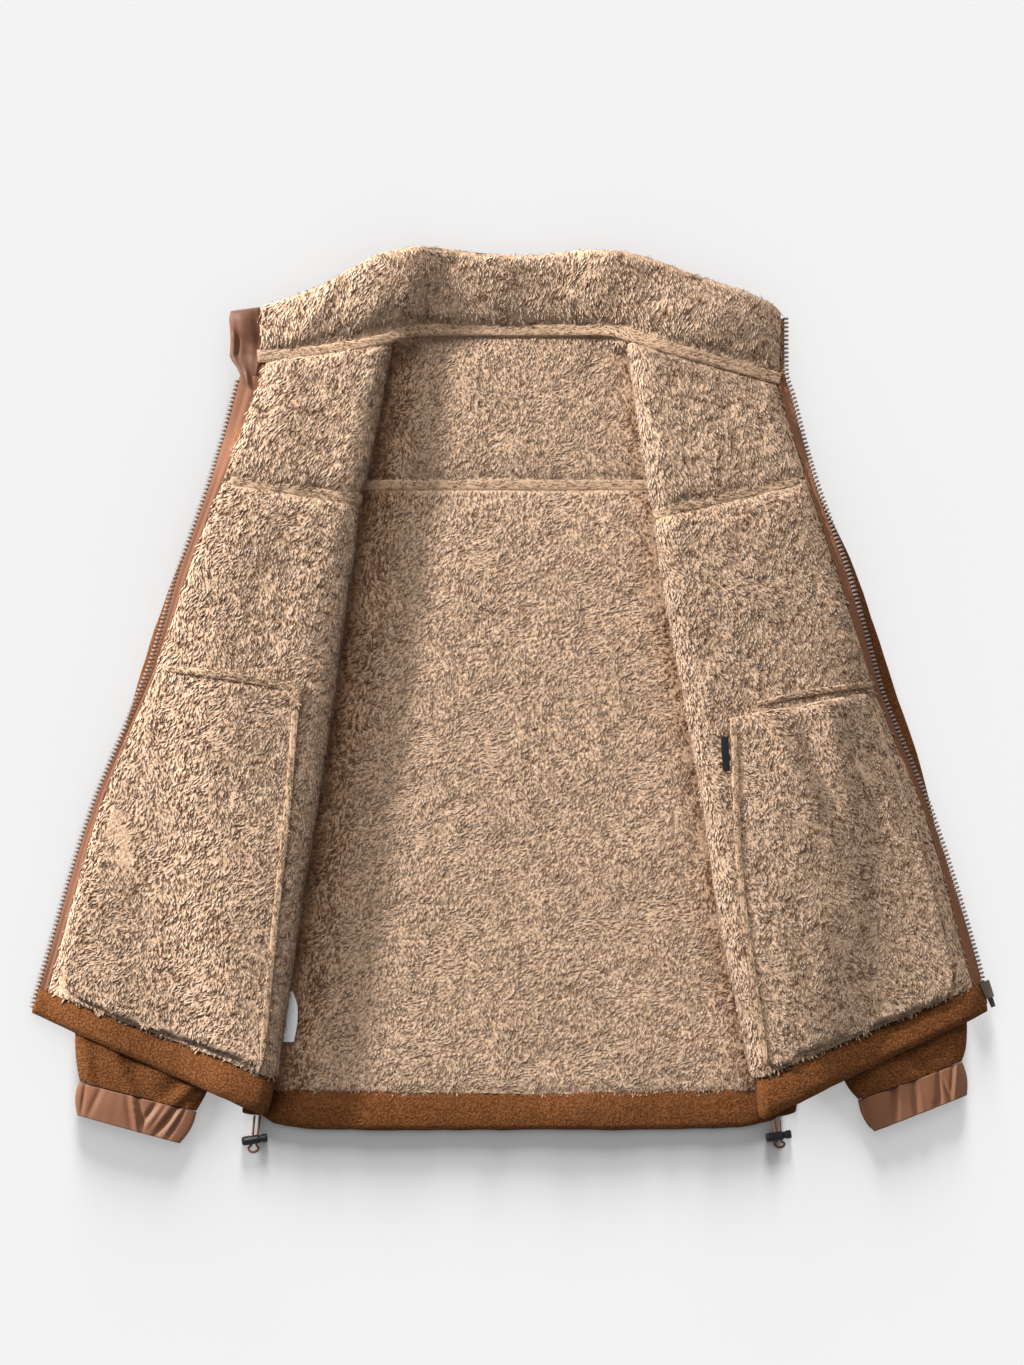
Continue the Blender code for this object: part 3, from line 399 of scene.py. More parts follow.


# Locks of sherpa: dark where they root, light at their tips, each a little different, with painted shade in
# nooks.
# cracks is how dark the painted shade in the cracks between clumps is, grain how far each lock catches its
# own light
def pileMaterial(name, root, end, cracks=0.9, grain=0.16):
    material, tree, shader = newMaterial(name, 0.92, 0.2)
    tip = mapRange(tree, markFor(tree, "tip"), *pileShade["rootToTip"])
    colour = mixColour(tree, tip, colours[root], colours[end])
    lines = groupNode(tree, crackGroup, {"Size": clumpLook["size"], "Width": crackLook["width"]})["Crack"]
    cracked = mixColour(tree, 1.0, colour, pileShade["crack"], "MULTIPLY")
    colour = mixColour(tree, calc(tree, "MULTIPLY", lines, cracks), colour, cracked)
    colour = shadeNooks(tree, colour, pileShade)
    # Each lock's random tone, with painted shade towards the edges of clumps
    tint = mapRange(tree, markFor(tree, "tint"), 0.0, 1.0, *pileShade["tints"])
    shade = calc(tree, "MULTIPLY", tint, patchy(tree, pileShade))
    tree.links.new(vectorCalc(tree, "SCALE", colour, shade), shader.inputs["Base Color"])
    own = vectorCalc(tree, "SCALE", addNode(tree, "ShaderNodeNewGeometry").outputs["Normal"], grain)
    soft = vectorCalc(tree, "ADD", own, markFor(tree, "clothNormal", "Vector"))
    tree.links.new(vectorCalc(tree, "NORMALIZE", soft), shader.inputs["Normal"])
    return material


def plainMaterial(name, base, roughness, metallic=0.0, sheen=0.0):
    material, _, shader = newMaterial(name, roughness, sheen, metallic)
    shader.inputs["Base Color"].default_value = asColour(colours[base])
    return material


finishes = {
    "pile": pileMaterial("sandSherpaPile", "pileRoot", "pileTip"),
    "backPile": pileMaterial("sandSherpaBackPile", "pileRoot", "pileTip", cracks=0.6, grain=0.12),
    # The collar's pile, in its lighter colours of painted light
    "collarPile": pileMaterial("sandSherpaCollarPile", "liftedRoot", "liftedTip"),
    "seamFuzz": pileMaterial("seamFuzz", "seamRoot", "seamTip"),
    "pileCloth": napMaterial("sandSherpaKnit", "pileCloth", "pileTip", pill=0.0026, fibre=0.0009,
                             depth=0.0016),
    "fleece": napMaterial("brownPolarFleece", "fleece", "fleeceWorn", pill=0.0018, fibre=0.0008, depth=0.0024,
                          sheen=0.0),
    "facing": napMaterial("brownFacing", "facing", "facingWorn", pill=0.0015, fibre=0.0007, depth=0.0008,
                          roughness=0.9, sheen=0.02),
    "cuff": weaveMaterial("wovenCuff", "cuff", "cuffShade", rib=0.0009, turn=0.25, depth=0.00015,
                          roughness=0.5, sheen=0.15),
    "chin": weaveMaterial("wovenGuard", "chin", "chin", rib=0.0009, turn=0.1, depth=0.00015,
                          roughness=0.5, sheen=0.15),
    "tape": weaveMaterial("sandTape", "tape", "tapeShade", rib=0.0011, turn=1.57, depth=0.0003),
    "binding": weaveMaterial("sandBinding", "tape", "tapeShade", rib=0.0012, turn=0.0, depth=0.0003),
    "zipTape": weaveMaterial("zipTape", "zipTape", "zipTapeShade", rib=0.0011, turn=1.2, depth=0.00025),
    "teeth": plainMaterial("zipTeeth", "teeth", roughness=0.38, metallic=0.25),
    "slider": plainMaterial("zipSlider", "slider", roughness=0.45, metallic=0.25),
    "black": plainMaterial("blackPlastic", "black", roughness=0.22),
    "label": plainMaterial("satinLabel", "label", roughness=0.5, sheen=0.3),
    "floor": plainMaterial("paleFloor", "floor", roughness=0.9),
}
print("finishes made:", len(finishes))

# Shape helpers


# The evaluated mesh takes the place of the live modifiers
def freeze(obj):
    bpy.context.view_layer.update()
    evaluated = obj.evaluated_get(bpy.context.evaluated_depsgraph_get())
    mesh = bpy.data.meshes.new_from_object(evaluated)
    old = obj.data
    obj.modifiers.clear()
    obj.data = mesh
    mesh.name = obj.name
    bpy.data.meshes.remove(old)


def linkObject(name, data):
    obj = bpy.data.objects.new(name, data)
    bpy.context.scene.collection.objects.link(obj)
    return obj


def pieceName(nodeName):
    return nodeName.replace("shell", "outer").replace("_", " ").title().replace(" ", "")


def meshFrom(shape, name):
    mesh = bpy.data.meshes.new(name)
    shape.to_mesh(mesh)
    shape.free()
    return mesh


# Four-sided faces between rows of points, and round each row where it is closed
def joinRows(shape, rows, closed):
    for row, after in zip(rows, rows[1:]):
        for i in range(len(row) if closed else len(row) - 1):
            j = (i + 1) % len(row)
            shape.faces.new((row[i], row[j], after[j], after[i]))


# A smoother copy of a CAD node, as cloth
def softCopy(nodeName, name, levels, rounding="CATMULL_CLARK"):
    shape = bmesh.new()
    shape.from_mesh(nodes[nodeName].data)
    bmesh.ops.remove_doubles(shape, verts=shape.verts, dist=1e-5)
    bmesh.ops.join_triangles(shape, faces=shape.faces, angle_face_threshold=math.radians(50),
                             angle_shape_threshold=math.radians(80))
    obj = linkObject(name, meshFrom(shape, name))
    smoother = obj.modifiers.new("smoother", "SUBSURF")
    smoother.subdivision_type = rounding
    smoother.levels = levels
    smoother.render_levels = levels
    freeze(obj)
    obj.data.shade_smooth()
    return obj


# Gives a sheet a thickness inward
def addWall(obj, thickness):
    wall = obj.modifiers.new("wall", "SOLIDIFY")
    wall.thickness = thickness * mm
    wall.offset = -1.0
    freeze(obj)


def points(obj):
    places = np.empty(len(obj.data.vertices) * 3)
    obj.data.vertices.foreach_get("co", places)
    return places.reshape(-1, 3)


def normals(obj):
    return np.array([v.vector[:] for v in obj.data.vertex_normals])


def setPoints(obj, places):
    obj.data.vertices.foreach_set("co", np.ascontiguousarray(places, float).ravel())
    obj.data.update()


def writeMark(obj, name, values):
    layer = obj.data.attributes.new(name, "FLOAT", "POINT")
    layer.data.foreach_set("value", values)


foldColumns = ("x", "y", "angle", "length", "width", "height")


# Soft ridges, or creases where the height is negative, in the upper side of a piece
def raiseFolds(obj, folds):
    places, facing = points(obj), normals(obj)
    lift = np.zeros(len(places))
    for row in folds:
        fold = dict(zip(foldColumns, row))
        turn = math.radians(fold["angle"])
        dx, dy = places[:, 0] / mm - fold["x"], places[:, 1] / mm - fold["y"]
        run = dx * math.cos(turn) + dy * math.sin(turn)
        across = dy * math.cos(turn) - dx * math.sin(turn)
        far = (2 * run / fold["length"]) ** 2 + (2 * across / fold["width"]) ** 2
        lift += fold["height"] * np.exp(-far)
    places[:, 2] += lift * mm * np.clip(facing[:, 2] * 1.6, 0.0, 1.0)
    setPoints(obj, places)


# Slow unevenness along the normals
def roughen(obj, size, height, seed):
    places, facing = points(obj), normals(obj)
    shift = Vector((seed * 3.1, seed * 1.7, 0.0))
    lift = np.array([noise.noise(Vector(p) / (size * mm) + shift) for p in places])
    setPoints(obj, places + facing * (lift * height * mm)[:, None])


# Draws an upper edge up, or a lower edge down where reach is negative
def drawEdge(obj, reach):
    places, facing = points(obj), normals(obj)
    places[:, 1] += np.clip(facing[:, 1] * math.copysign(1.4, reach), 0.0, 1.0) * reach * mm
    setPoints(obj, places)


# Draws the wall of a lower edge back under the cloth, so that ragged tips end it
def undercut(obj, reach):
    places, facing = points(obj), normals(obj)
    wall = np.clip(-1.3 * facing[:, 1] - 0.2, 0.0, 1.0) * np.clip(1.0 - 1.6 * facing[:, 2], 0.0, 1.0)
    places[:, 1] += wall * reach * mm
    setPoints(obj, places)


# Lifts a piece to the neck tape. rows hold (x, lift, y of the tape's lower edge) in mm
def raiseToNeck(obj, rows, run):
    places = points(obj)
    x, lift, edge = (np.array(column) * mm for column in zip(*rows))
    share = np.clip((places[:, 1] - np.interp(places[:, 0], x, edge)) / (run * mm) + 1.0, 0.0, 1.0)
    places[:, 2] += share * share * (3.0 - 2.0 * share) * np.interp(places[:, 0], x, lift)
    setPoints(obj, places)


thinShare = 0.45  # of the cloth's thickness


# Lowers the upper side, so that the pile on it reaches where the CAD part ends, less where the cloth is thin
def sinkTop(obj, depth):
    places, facing = points(obj), normals(obj)
    tree = BVHTree.FromPolygons([v.co for v in obj.data.vertices], [p.vertices[:] for p in obj.data.polygons])
    amount = np.clip((facing[:, 2] + 0.2) * 1.5, 0.0, 1.0) * depth * mm
    for i in np.nonzero(amount)[0]:
        normal = Vector(facing[i])
        wall = tree.ray_cast(Vector(places[i]) - normal * 0.0002, -normal, 0.02)[3]
        amount[i] = min(amount[i], thinShare * (wall or 0.0))
    setPoints(obj, places - facing * amount[:, None])


# The named CAD nodes as one shape for rays
def rayTree(names):
    corners, faces = [], []
    for name in names:
        start = len(corners)
        corners += [v.co.copy() for v in nodes[name].data.vertices]
        faces += [[start + i for i in p.vertices] for p in nodes[name].data.polygons]
    return BVHTree.FromPolygons(corners, faces)


everything = rayTree(nodes)
lowestFacing = -0.45  # points whose normals dip further are underneath


# The points of a piece that aren't underneath, each moved off it along its normal
def upperPoints(obj, lift):
    for i, (place, normal) in enumerate(zip(points(obj), normals(obj))):
        if normal[2] >= lowestFacing:
            yield i, Vector(place) + Vector(normal) * lift


# The painted shade leans towards the left lamp: cloth to the right of a point hides little of that lamp, so
# that part of the sky counts for only a share
nookLook = {"rays": 16, "turn": 2.39996, "lift": 6.0, "reach": 120.0, "rightShare": 0.3}


# Writes a nook value on each point: the share of the sky that folds of the jacket hide from it. It sets how
# strong the painted shade in nooks is there
def markNooks(obj):
    count = nookLook["rays"]
    spread = []
    for i in range(count):
        level, turn = math.sqrt((i + 0.5) / count), i * nookLook["turn"]
        spread.append(Vector((level * math.cos(turn), level * math.sin(turn), math.sqrt(1 - level * level))))
    weights = [1.0 if way.x < 0 else nookLook["rightShare"] for way in spread]
    reach = nookLook["reach"] * mm
    values = np.zeros(len(obj.data.vertices))
    for i, start in upperPoints(obj, nookLook["lift"] * mm):
        hidden = sum(w for way, w in zip(spread, weights) if everything.ray_cast(start, way, reach)[0])
        values[i] = hidden / sum(weights)
    writeMark(obj, "nook", values)


# Writes a furry value on each point: 1 where pile shows, 0 underneath and where another piece covers it
def markFurry(obj, nodeName):
    others = rayTree([name for name in nodes if name != nodeName])
    values = np.zeros(len(obj.data.vertices))
    for i, start in upperPoints(obj, 1.5 * mm):
        values[i] = 0.0 if others.ray_cast(start, Vector((0.0, 0.0, 1.0)), 0.2)[0] else 1.0
    writeMark(obj, "furry", values)


def paint(obj, finish):
    obj.data.materials.clear()
    obj.data.materials.append(finishes[finish])


# Hides the CAD node that a piece stands for, if it has one, and makes the piece move with the jacket
def dress(obj, nodeName=None):
    if nodeName:
        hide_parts(nodeName)
    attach(obj, "jacket")


# Rules of Geometry Nodes, with their sizes in metres


def randomOf(tree, low, high, seed):
    kind = "FLOAT_VECTOR" if isinstance(low, tuple) else "FLOAT"
    node = addNode(tree, "FunctionNodeRandomValue", {"Min": low, "Max": high, "Seed": seed}, data_type=kind)
    return socketOf(node.outputs, "Value")


def storeMark(tree, geometry, name, value, kind="FLOAT", domain="POINT"):
    inputs = {"Geometry": geometry, "Name": name, "Value": value}
    return addNode(tree, "GeometryNodeStoreNamedAttribute", inputs, data_type=kind, domain=domain).outputs[0]


def readMark(tree, name, kind="FLOAT"):
    node = addNode(tree, "GeometryNodeInputNamedAttribute", {"Name": name}, data_type=kind)
    return socketOf(node.outputs, "Attribute")


def turnedTo(tree, up, along):
    inputs = {"Primary Axis": up, "Secondary Axis": along}
    node = addNode(tree, "FunctionNodeAxesToRotation", inputs, primary_axis="Z", secondary_axis="X")
    return node.outputs[0]


def realized(tree, instances, finish):
    mesh = addNode(tree, "GeometryNodeRealizeInstances", {"Geometry": instances}).outputs[0]
    return addNode(tree, "GeometryNodeSetMaterial", {"Geometry": mesh, "Material": finish}).outputs[0]


# Runs a tree on an object and keeps what it makes as a plain mesh
def runRule(obj, tree, look, finish):
    rule = obj.modifiers.new("rule", "NODES")
    rule.node_group = tree
    values = {**look, "Finish": finishes[finish]}
    for item in tree.interface.items_tree:
        if item.item_type == "SOCKET" and item.in_out == "INPUT" and item.name in values:
            rule[item.identifier] = values[item.name]
    freeze(obj)


# Pile

# swell is a lock's belly and arch its bow. The edge rows turn how far the cloth faces up into a tilt and a
# size, so that locks on a rim lean out and are small
lockLook = {"swell": (3.07, 0.5), "arch": (-3.7, 4.65), "rootDip": -0.4, "density": 400000.0,
            "swirlScale": 38.0, "tilts": ((-0.26, -0.18, 0.0), (0.26, 0.06, 0.0)), "sizes": (0.72, 1.25),
            "edgeTilt": (0.1, 0.75, -0.25, 0.0), "edgeSize": (0.0, 0.7, 0.66, 1.0), "gap": (0.02, 0.16)}


# One lock, a bent and tapered three-sided leaf along X
def lockShape(tree, given, place):
    cone = addNode(tree, "GeometryNodeMeshCone", {
        "Vertices": 3, "Side Segments": given["Segments"],
        "Radius Top": 0.0, "Radius Bottom": 1.0, "Depth": 1.0,
    }, fill_type="NONE").outputs["Mesh"]
    across, over, along = axesOf(tree, place)
    swell = calc(tree, "MULTIPLY_ADD", along, *lockLook["swell"])
    bow = calc(tree, "MULTIPLY_ADD", along, *lockLook["arch"])
    arch = calc(tree, "MULTIPLY", calc(tree, "MULTIPLY_ADD", along, bow, lockLook["rootDip"]), given["Rise"])
    half = calc(tree, "MULTIPLY", given["Width"], 0.5)
    deep = calc(tree, "MULTIPLY", given["Thickness"], 0.5)
    x = calc(tree, "MULTIPLY", along, given["Length"])
    y = calc(tree, "MULTIPLY", calc(tree, "MULTIPLY", across, swell), half)
    z = calc(tree, "ADD", arch, calc(tree, "MULTIPLY", calc(tree, "MULTIPLY", over, swell), deep))
    marked = storeMark(tree, cone, "tip", along)
    bent = addNode(tree, "GeometryNodeSetPosition", {"Geometry": marked, "Position": joinAxes(tree, x, y, z)})
    return addNode(tree, "GeometryNodeSetShadeSmooth", {"Geometry": bent.outputs[0]}).outputs[0]


# Where the locks stand: points on the furry cloth between From and To in Y, and the cloth's normal there
def lockPoints(tree, given, place):
    spread = addNode(tree, "GeometryNodeDistributePointsOnFaces", {
        "Mesh": given["Cloth"], "Distance Min": given["Spacing"], "Density Max": lockLook["density"],
        "Density Factor": readMark(tree, "furry"), "Seed": given["Seed"],
    }, distribute_method="POISSON").outputs
    stood = storeMark(tree, spread["Points"], "clothNormal", spread["Normal"], "FLOAT_VECTOR")
    y = axesOf(tree, place)[1]
    outside = calc(tree, "ADD", calc(tree, "LESS_THAN", y, given["From"]),
                   calc(tree, "GREATER_THAN", y, given["To"]))
    kept = addNode(tree, "GeometryNodeDeleteGeometry", {"Geometry": stood, "Selection": outside}).outputs[0]
    return kept, spread["Normal"]


# Which way the locks lie: along the flow, swung by a slow swirl, each a little astray and tilted
def lockTurn(tree, given, place, normal, upward):
    swirl = calc(tree, "SUBTRACT", noiseAt(tree, place, lockLook["swirlScale"], 1.0), 0.5)
    angle = calc(tree, "ADD", given["Flow"], calc(tree, "MULTIPLY", swirl, given["Swirl"]))
    angle = calc(tree, "ADD", angle, calc(tree, "MULTIPLY", randomOf(tree, -1.0, 1.0, 3), given["Jitter"]))
    along = joinAxes(tree, calc(tree, "COSINE", angle), calc(tree, "SINE", angle), 0.0)
    outward = joinAxes(tree, 0.0, mapRange(tree, upward, *lockLook["edgeTilt"]), 0.0)
    tilt = vectorCalc(tree, "ADD", randomOf(tree, *lockLook["tilts"], 5), outward)
    lean = addNode(tree, "FunctionNodeEulerToRotation", {"Euler": tilt}).outputs[0]
    inputs = {"Rotation": turnedTo(tree, normal, along), "Rotate By": lean}
    return addNode(tree, "FunctionNodeRotateRotation", inputs, rotation_space="LOCAL").outputs[0]


def makePileTree():
    tree, given, out = newGroup(
        "GeometryNodeTree", "sherpaPile",
        [
            ("Cloth", "NodeSocketGeometry", None), ("Spacing", "NodeSocketFloat", 0.003),
            ("Length", "NodeSocketFloat", 0.006), ("Width", "NodeSocketFloat", 0.0024),
            ("Thickness", "NodeSocketFloat", 0.0016), ("Rise", "NodeSocketFloat", 0.0018),
            ("Flow", "NodeSocketFloat", -1.57), ("Swirl", "NodeSocketFloat", 2.0),
            ("Jitter", "NodeSocketFloat", 0.5), ("Seed", "NodeSocketInt", 1),
            ("Segments", "NodeSocketInt", 3), ("Clump", "NodeSocketFloat", clumpLook["size"]),
            ("Crack", "NodeSocketFloat", 0.5), ("From", "NodeSocketFloat", -10.0),
            ("To", "NodeSocketFloat", 10.0), ("Finish", "NodeSocketMaterial", None),
        ],
        [("Pile", "NodeSocketGeometry")],
    )
    place = addNode(tree, "GeometryNodeInputPosition").outputs[0]
    kept, normal = lockPoints(tree, given, place)
    upward = axesOf(tree, normal)[2]
    # locks gather in clumps and are smaller at their edges
    edge = clumpEdge(tree, vectorCalc(tree, "MULTIPLY", place, clumpLook["squash"]), given["Clump"])
    clump = mapRange(tree, edge, *lockLook["gap"], calc(tree, "SUBTRACT", 1.0, given["Crack"]), 1.0)
    size = calc(tree, "MULTIPLY", randomOf(tree, *lockLook["sizes"], 7),
                mapRange(tree, upward, *lockLook["edgeSize"]))
    locks = addNode(tree, "GeometryNodeInstanceOnPoints", {
        "Points": storeMark(tree, kept, "clump", clump),
        "Instance": lockShape(tree, given, place),
        "Rotation": lockTurn(tree, given, place, normal, upward),
        "Scale": calc(tree, "MULTIPLY", size, clump),
    }).outputs[0]
    # A lock's tone: random, and darker towards its clump's edge, where it is painted shade between clumps
    tint = calc(tree, "MULTIPLY", randomOf(tree, 0.0, 1.0, 9), readMark(tree, "clump"))
    locks = storeMark(tree, locks, "tint", tint, domain="INSTANCE")
    normal = readMark(tree, "clothNormal", "FLOAT_VECTOR")
    locks = storeMark(tree, locks, "clothNormal", normal, "FLOAT_VECTOR", "INSTANCE")
    tree.links.new(realized(tree, locks, given["Finish"]), out["Pile"])
    return tree


pileTree = makePileTree()


# Locks of pile on a cloth, as a piece of their own
def growPile(cloth, name, look, finish="pile"):
    obj = linkObject(name, cloth.data.copy())
    runRule(obj, pileTree, look, finish)
    dress(obj)
    return obj


# Tapes, bindings and labels


# A closed strip between two lines of places. profile holds (share across, height) rows of its top
def makeStrip(name, inner, outer, profile, depth):
    shape = bmesh.new()
    rings = []
    for a, b in zip(inner, outer):
        top = [a.lerp(b, share) + Vector((0.0, 0.0, height * mm)) for share, height in profile]
        low = [a.lerp(b, share) - Vector((0.0, 0.0, depth * mm)) for share, height in reversed(profile)]
        rings.append([shape.verts.new(p) for p in top + low])
    joinRows(shape, rings, True)
    shape.faces.new(rings[0])
    shape.faces.new(rings[-1])
    bmesh.ops.recalc_face_normals(shape, faces=shape.faces)
    mesh = meshFrom(shape, name)
    mesh.shade_smooth()
    mesh.set_sharp_from_angle(angle=math.radians(60))
    return linkObject(name, mesh)


# Where a CAD node is cut across y: its least and greatest x, and its least and greatest z
def sectionRows(nodeName, stations):
    mesh = nodes[nodeName].data
    places = np.array([v.co[:] for v in mesh.vertices])
    edges = np.array([e.vertices[:] for e in mesh.edges])
    first, second = places[edges[:, 0]], places[edges[:, 1]]
    rows = []
    for y in stations:
        crossing = (first[:, 1] - y) * (second[:, 1] - y) < 0
        a, b = first[crossing], second[crossing]
        cut = a + (b - a) * ((y - a[:, 1]) / (b[:, 1] - a[:, 1]))[:, None]
        rows.append((cut[:, 0].min(), cut[:, 0].max(), cut[:, 2].min(), cut[:, 2].max()))
    return np.array(rows)


def smoothed(values, rounds):
    values = np.array(values, float)
    for _ in range(rounds):
        values[1:-1] = (values[:-2] + 2 * values[1:-1] + values[2:]) / 4
    return values


# The columns of a table of rows, spread over more steps and smoothed
def spreadRows(rows, steps, rounds):
    stations = np.linspace(0, len(rows) - 1, steps)
    return [smoothed(np.interp(stations, range(len(rows)), column), rounds) for column in zip(*rows)]


stripLook = {"stepsPerRow": 6, "rounds": 6, "heightRounds": 4, "feelers": (-6, -4, -2, 0, 2, 4, 6)}


# A strip that lies on named nodes. rows are (x, y, width) in mm along its middle
def layStrip(name, look):
    tree = rayTree([node for node in nodes if node in look["on"]])
    columns = spreadRows(look["rows"], len(look["rows"]) * stripLook["stepsPerRow"], stripLook["rounds"])
    heights = []
    for x, y in zip(*columns[:2]):
        starts = [Vector((x * mm, (y + shift) * mm, 0.3)) for shift in stripLook["feelers"]]
        hits = [tree.ray_cast(start, Vector((0.0, 0.0, -1.0)))[0] for start in starts]
        hits = [hit.z for hit in hits if hit is not None]
        heights.append(max(hits) if hits else tree.find_nearest(Vector((x * mm, y * mm, 0.03)))[0].z)
    heights = smoothed(heights, stripLook["heightRounds"]) + look["lift"] * mm
    inner, outer = [], []
    for i, (x, y, width, z) in enumerate(zip(*columns, heights)):
        before, after = max(i - 1, 0), min(i + 1, len(heights) - 1)
        dx, dy = columns[0][after] - columns[0][before], columns[1][after] - columns[1][before]
        way = Vector((dx, dy, 0.0)).normalized()
        side = Vector((-way.y, way.x, 0.0)) * width / 2 * mm
        middle = Vector((x * mm, y * mm, z))
        inner.append(middle + side)
        outer.append(middle - side)
    return makeStrip(name, inner, outer, flatTape, look["depth"])


pileLook = {"Spacing": 0.00166, "Length": 0.0062, "Width": 0.002, "Thickness": 0.0008, "Rise": 0.0009,
            "Swirl": 4.0, "Jitter": 0.55, "Segments": 2}
finePile = {"Spacing": 0.00158, "Length": 0.0052, "Width": 0.0018, "Thickness": 0.0007, "Rise": 0.00075}
combedPile = {"Jitter": 0.3, "Length": 0.0073, "Width": 0.0018}
seamFuzz = {"Spacing": 0.0013, "Length": 0.0048, "Width": 0.0014, "Thickness": 0.0006, "Rise": 0.0011,
            "Swirl": 4.0, "Jitter": 1.0, "Segments": 2, "Crack": 0.3, "Clump": 0.005}
foldedTape = {"Spacing": 0.0012, "Length": 0.0034, "Width": 0.0009, "Thickness": 0.0004, "Rise": 0.0006,
              "Jitter": 0.6}


# Short fibre lying along a tape
def addFuzz(piece, look):
    writeMark(piece, "furry", np.clip(normals(piece)[:, 2] * 3.0, 0.0, 1.0))
    own = {**seamFuzz, "Flow": math.radians(look["flow"]), **look.get("fuzz", {})}
    return growPile(piece, piece.name + "Fuzz", own, "seamFuzz")


flatTape = ((0.0, -1.1), (0.1, -0.1), (0.28, 0.35), (0.42, 0.1), (0.58, 0.1), (0.72, 0.35), (0.9, -0.1),
            (1.0, -1.1))
strips = {
    "neck_tape": {
        "on": ("neck_tape",), "depth": 7.0, "lift": -1.9, "flow": -8, "fuzz": foldedTape,
        "rows": ((-216.2, 286.6, 11.5), (-198.1, 288.2, 10.5), (-181.1, 289.9, 9.6), (-159.8, 292.3, 9.0),
                 (-140.3, 295.0, 9.0), (-121.6, 298.2, 9.0), (-104.6, 302.0, 9.0), (-96.1, 307.0, 11.0),
                 (-85.9, 309.3, 11.0), (-62.1, 310.4, 11.0), (-36.6, 310.9, 11.5), (-2.6, 310.0, 11.0),
                 (39.9, 310.0, 11.0), (73.9, 310.9, 11.0), (87.5, 309.8, 12.0), (99.4, 305.5, 13.0),
                 (112.2, 300.8, 11.0), (141.9, 291.4, 10.5), (175.9, 281.6, 10.0), (205.7, 273.6, 10.0),
                 (216.7, 270.6, 11.0), (226.2, 268.0, 10.0)),
    },
    "pocket_seam_left": {
        "on": ("pocket_left", "lining_front_left"), "depth": 1.5, "lift": 0.0, "flow": -8,
        "rows": ((-296.0, 23.0, 5.0), (-270.0, 20.5, 6.5), (-239.0, 16.5, 7.5), (-208.0, 11.0, 7.0),
                 (-184.0, 6.5, 6.0)),
    },
    "pocket_seam_right": {
        "on": ("pocket_right", "lining_front_right"), "depth": 1.5, "lift": 0.0, "flow": 9,
        "rows": ((206.0, -7.0, 4.0), (226.0, -2.5, 5.0), (257.0, 3.5, 6.0), (286.0, 7.5, 5.5),
                 (304.0, 9.5, 4.5)),
    },
    "pocket_corner_left": {
        "on": ("pocket_left", "lining_front_left", "pocket_binding_left"), "depth": 2.0, "lift": 0.8,
        "flow": -60,
        "rows": ((-196.0, 10.0, 4.0), (-190.0, 7.0, 13.0), (-184.0, 1.0, 14.0), (-181.5, -9.0, 6.0)),
    },
}
trims = {
    "yoke_tape": {"finish": "tape", "levels": 1, "flow": 0, "drop": 0.9, "fuzz": foldedTape},
    "chest_tape_left": {"finish": "tape", "levels": 2, "flow": -8, "drop": 1.8},
    "chest_tape_right": {"finish": "tape", "levels": 2, "flow": 14, "drop": 1.8},
    "pocket_binding_left": {"finish": "binding", "levels": 2, "flow": -93, "drop": 0.3},
    "pocket_binding_right": {"finish": "binding", "levels": 2, "flow": -84, "drop": 0.3},
}
flatLabel = ((0.0, -0.15), (0.08, 0.0), (0.5, 0.12), (0.92, 0.0), (1.0, -0.15))
# The labels are bare. Each runs between two edges of (x, y, z)
labels = {
    "care_label": {
        "finish": "label", "slot": "white_label", "depth": 0.5, "profile": flatLabel, "steps": 15,
        "rounds": 2,
        "inner": ((-197.5, -251.5, 11.2), (-197.5, -265.0, 11.2), (-197.5, -280.0, 11.2),
                  (-197.5, -294.0, 11.2)),
        "outer": ((-187.0, -251.0, 11.4), (-182.4, -263.0, 12.0), (-182.8, -279.0, 12.2),
                  (-186.0, -294.0, 11.6)),
    },
    "side_label": {
        "finish": "black", "slot": "black_plastic", "depth": 0.9, "profile": flatLabel, "steps": 15,
        "rounds": 2,
        "inner": ((175.0, -35.4, 46.6), (175.6, -50.0, 47.4), (177.1, -64.3, 46.8)),
        "outer": ((181.5, -34.5, 46.6), (182.0, -49.0, 47.2), (183.2, -63.4, 46.8)),
    },
    # a folded tape end fills the step between the right zip's foot and its slider
    "hem_end_right": {
        "finish": "zipTape", "slot": "zip_tape", "depth": 4.0, "profile": flatTape, "steps": 9, "rounds": 0,
        "inner": ((389.0, -243.0, 15.0), (393.4, -252.0, 13.5), (395.6, -263.0, 12.5)),
        "outer": ((396.4, -240.0, 13.0), (400.2, -250.0, 12.5), (402.6, -261.5, 12.0)),
    },
}


def makeTrims():
    for name, look in strips.items():
        piece = layStrip(pieceName(name), look)
        paint(piece, "tape")
        dress(piece, name if name in nodes else None)
        addFuzz(piece, look)
    for nodeName, look in trims.items():
        piece = softCopy(nodeName, pieceName(nodeName), look["levels"])
        setPoints(piece, points(piece) - np.array((0.0, 0.0, look["drop"] * mm)))
        paint(piece, look["finish"])
        dress(piece, nodeName)
        addFuzz(piece, look)


def makeLabels():
    for name, look in labels.items():
        edges = [[Vector(place) * mm for place in zip(*spreadRows(look[edge], look["steps"], look["rounds"]))]
                 for edge in ("inner", "outer")]
        piece = makeStrip(pieceName(name), *edges, look["profile"], look["depth"])
        paint(piece, look["finish"])
        dress(piece, name if name in nodes else None)


makeTrims()
makeLabels()

# The zip: a ribbed tape from the lining's edge to the teeth, and the teeth along it

zips = {
    "left": {"top": 270.0, "low": -262.0, "teethTop": 268.0, "teethLow": -264.0, "tuck": 2.5},
    "right": {"top": 319.0, "low": -246.5, "teethTop": 321.0, "teethLow": -243.0, "tuck": 2.5},
}
zipProfile = ((0.0, -0.6), (0.14, 0.0), (0.22, 0.7), (0.32, 1.0), (0.42, 0.8), (0.5, 0.1), (0.56, 0.0),
              (0.64, 0.3), (0.76, 0.4), (0.88, 0.5), (0.96, 0.1), (1.0, -0.7))
toothLook = {"Pitch": 0.0036, "Length": 0.0029, "Width": 0.0064, "Height": 0.004}
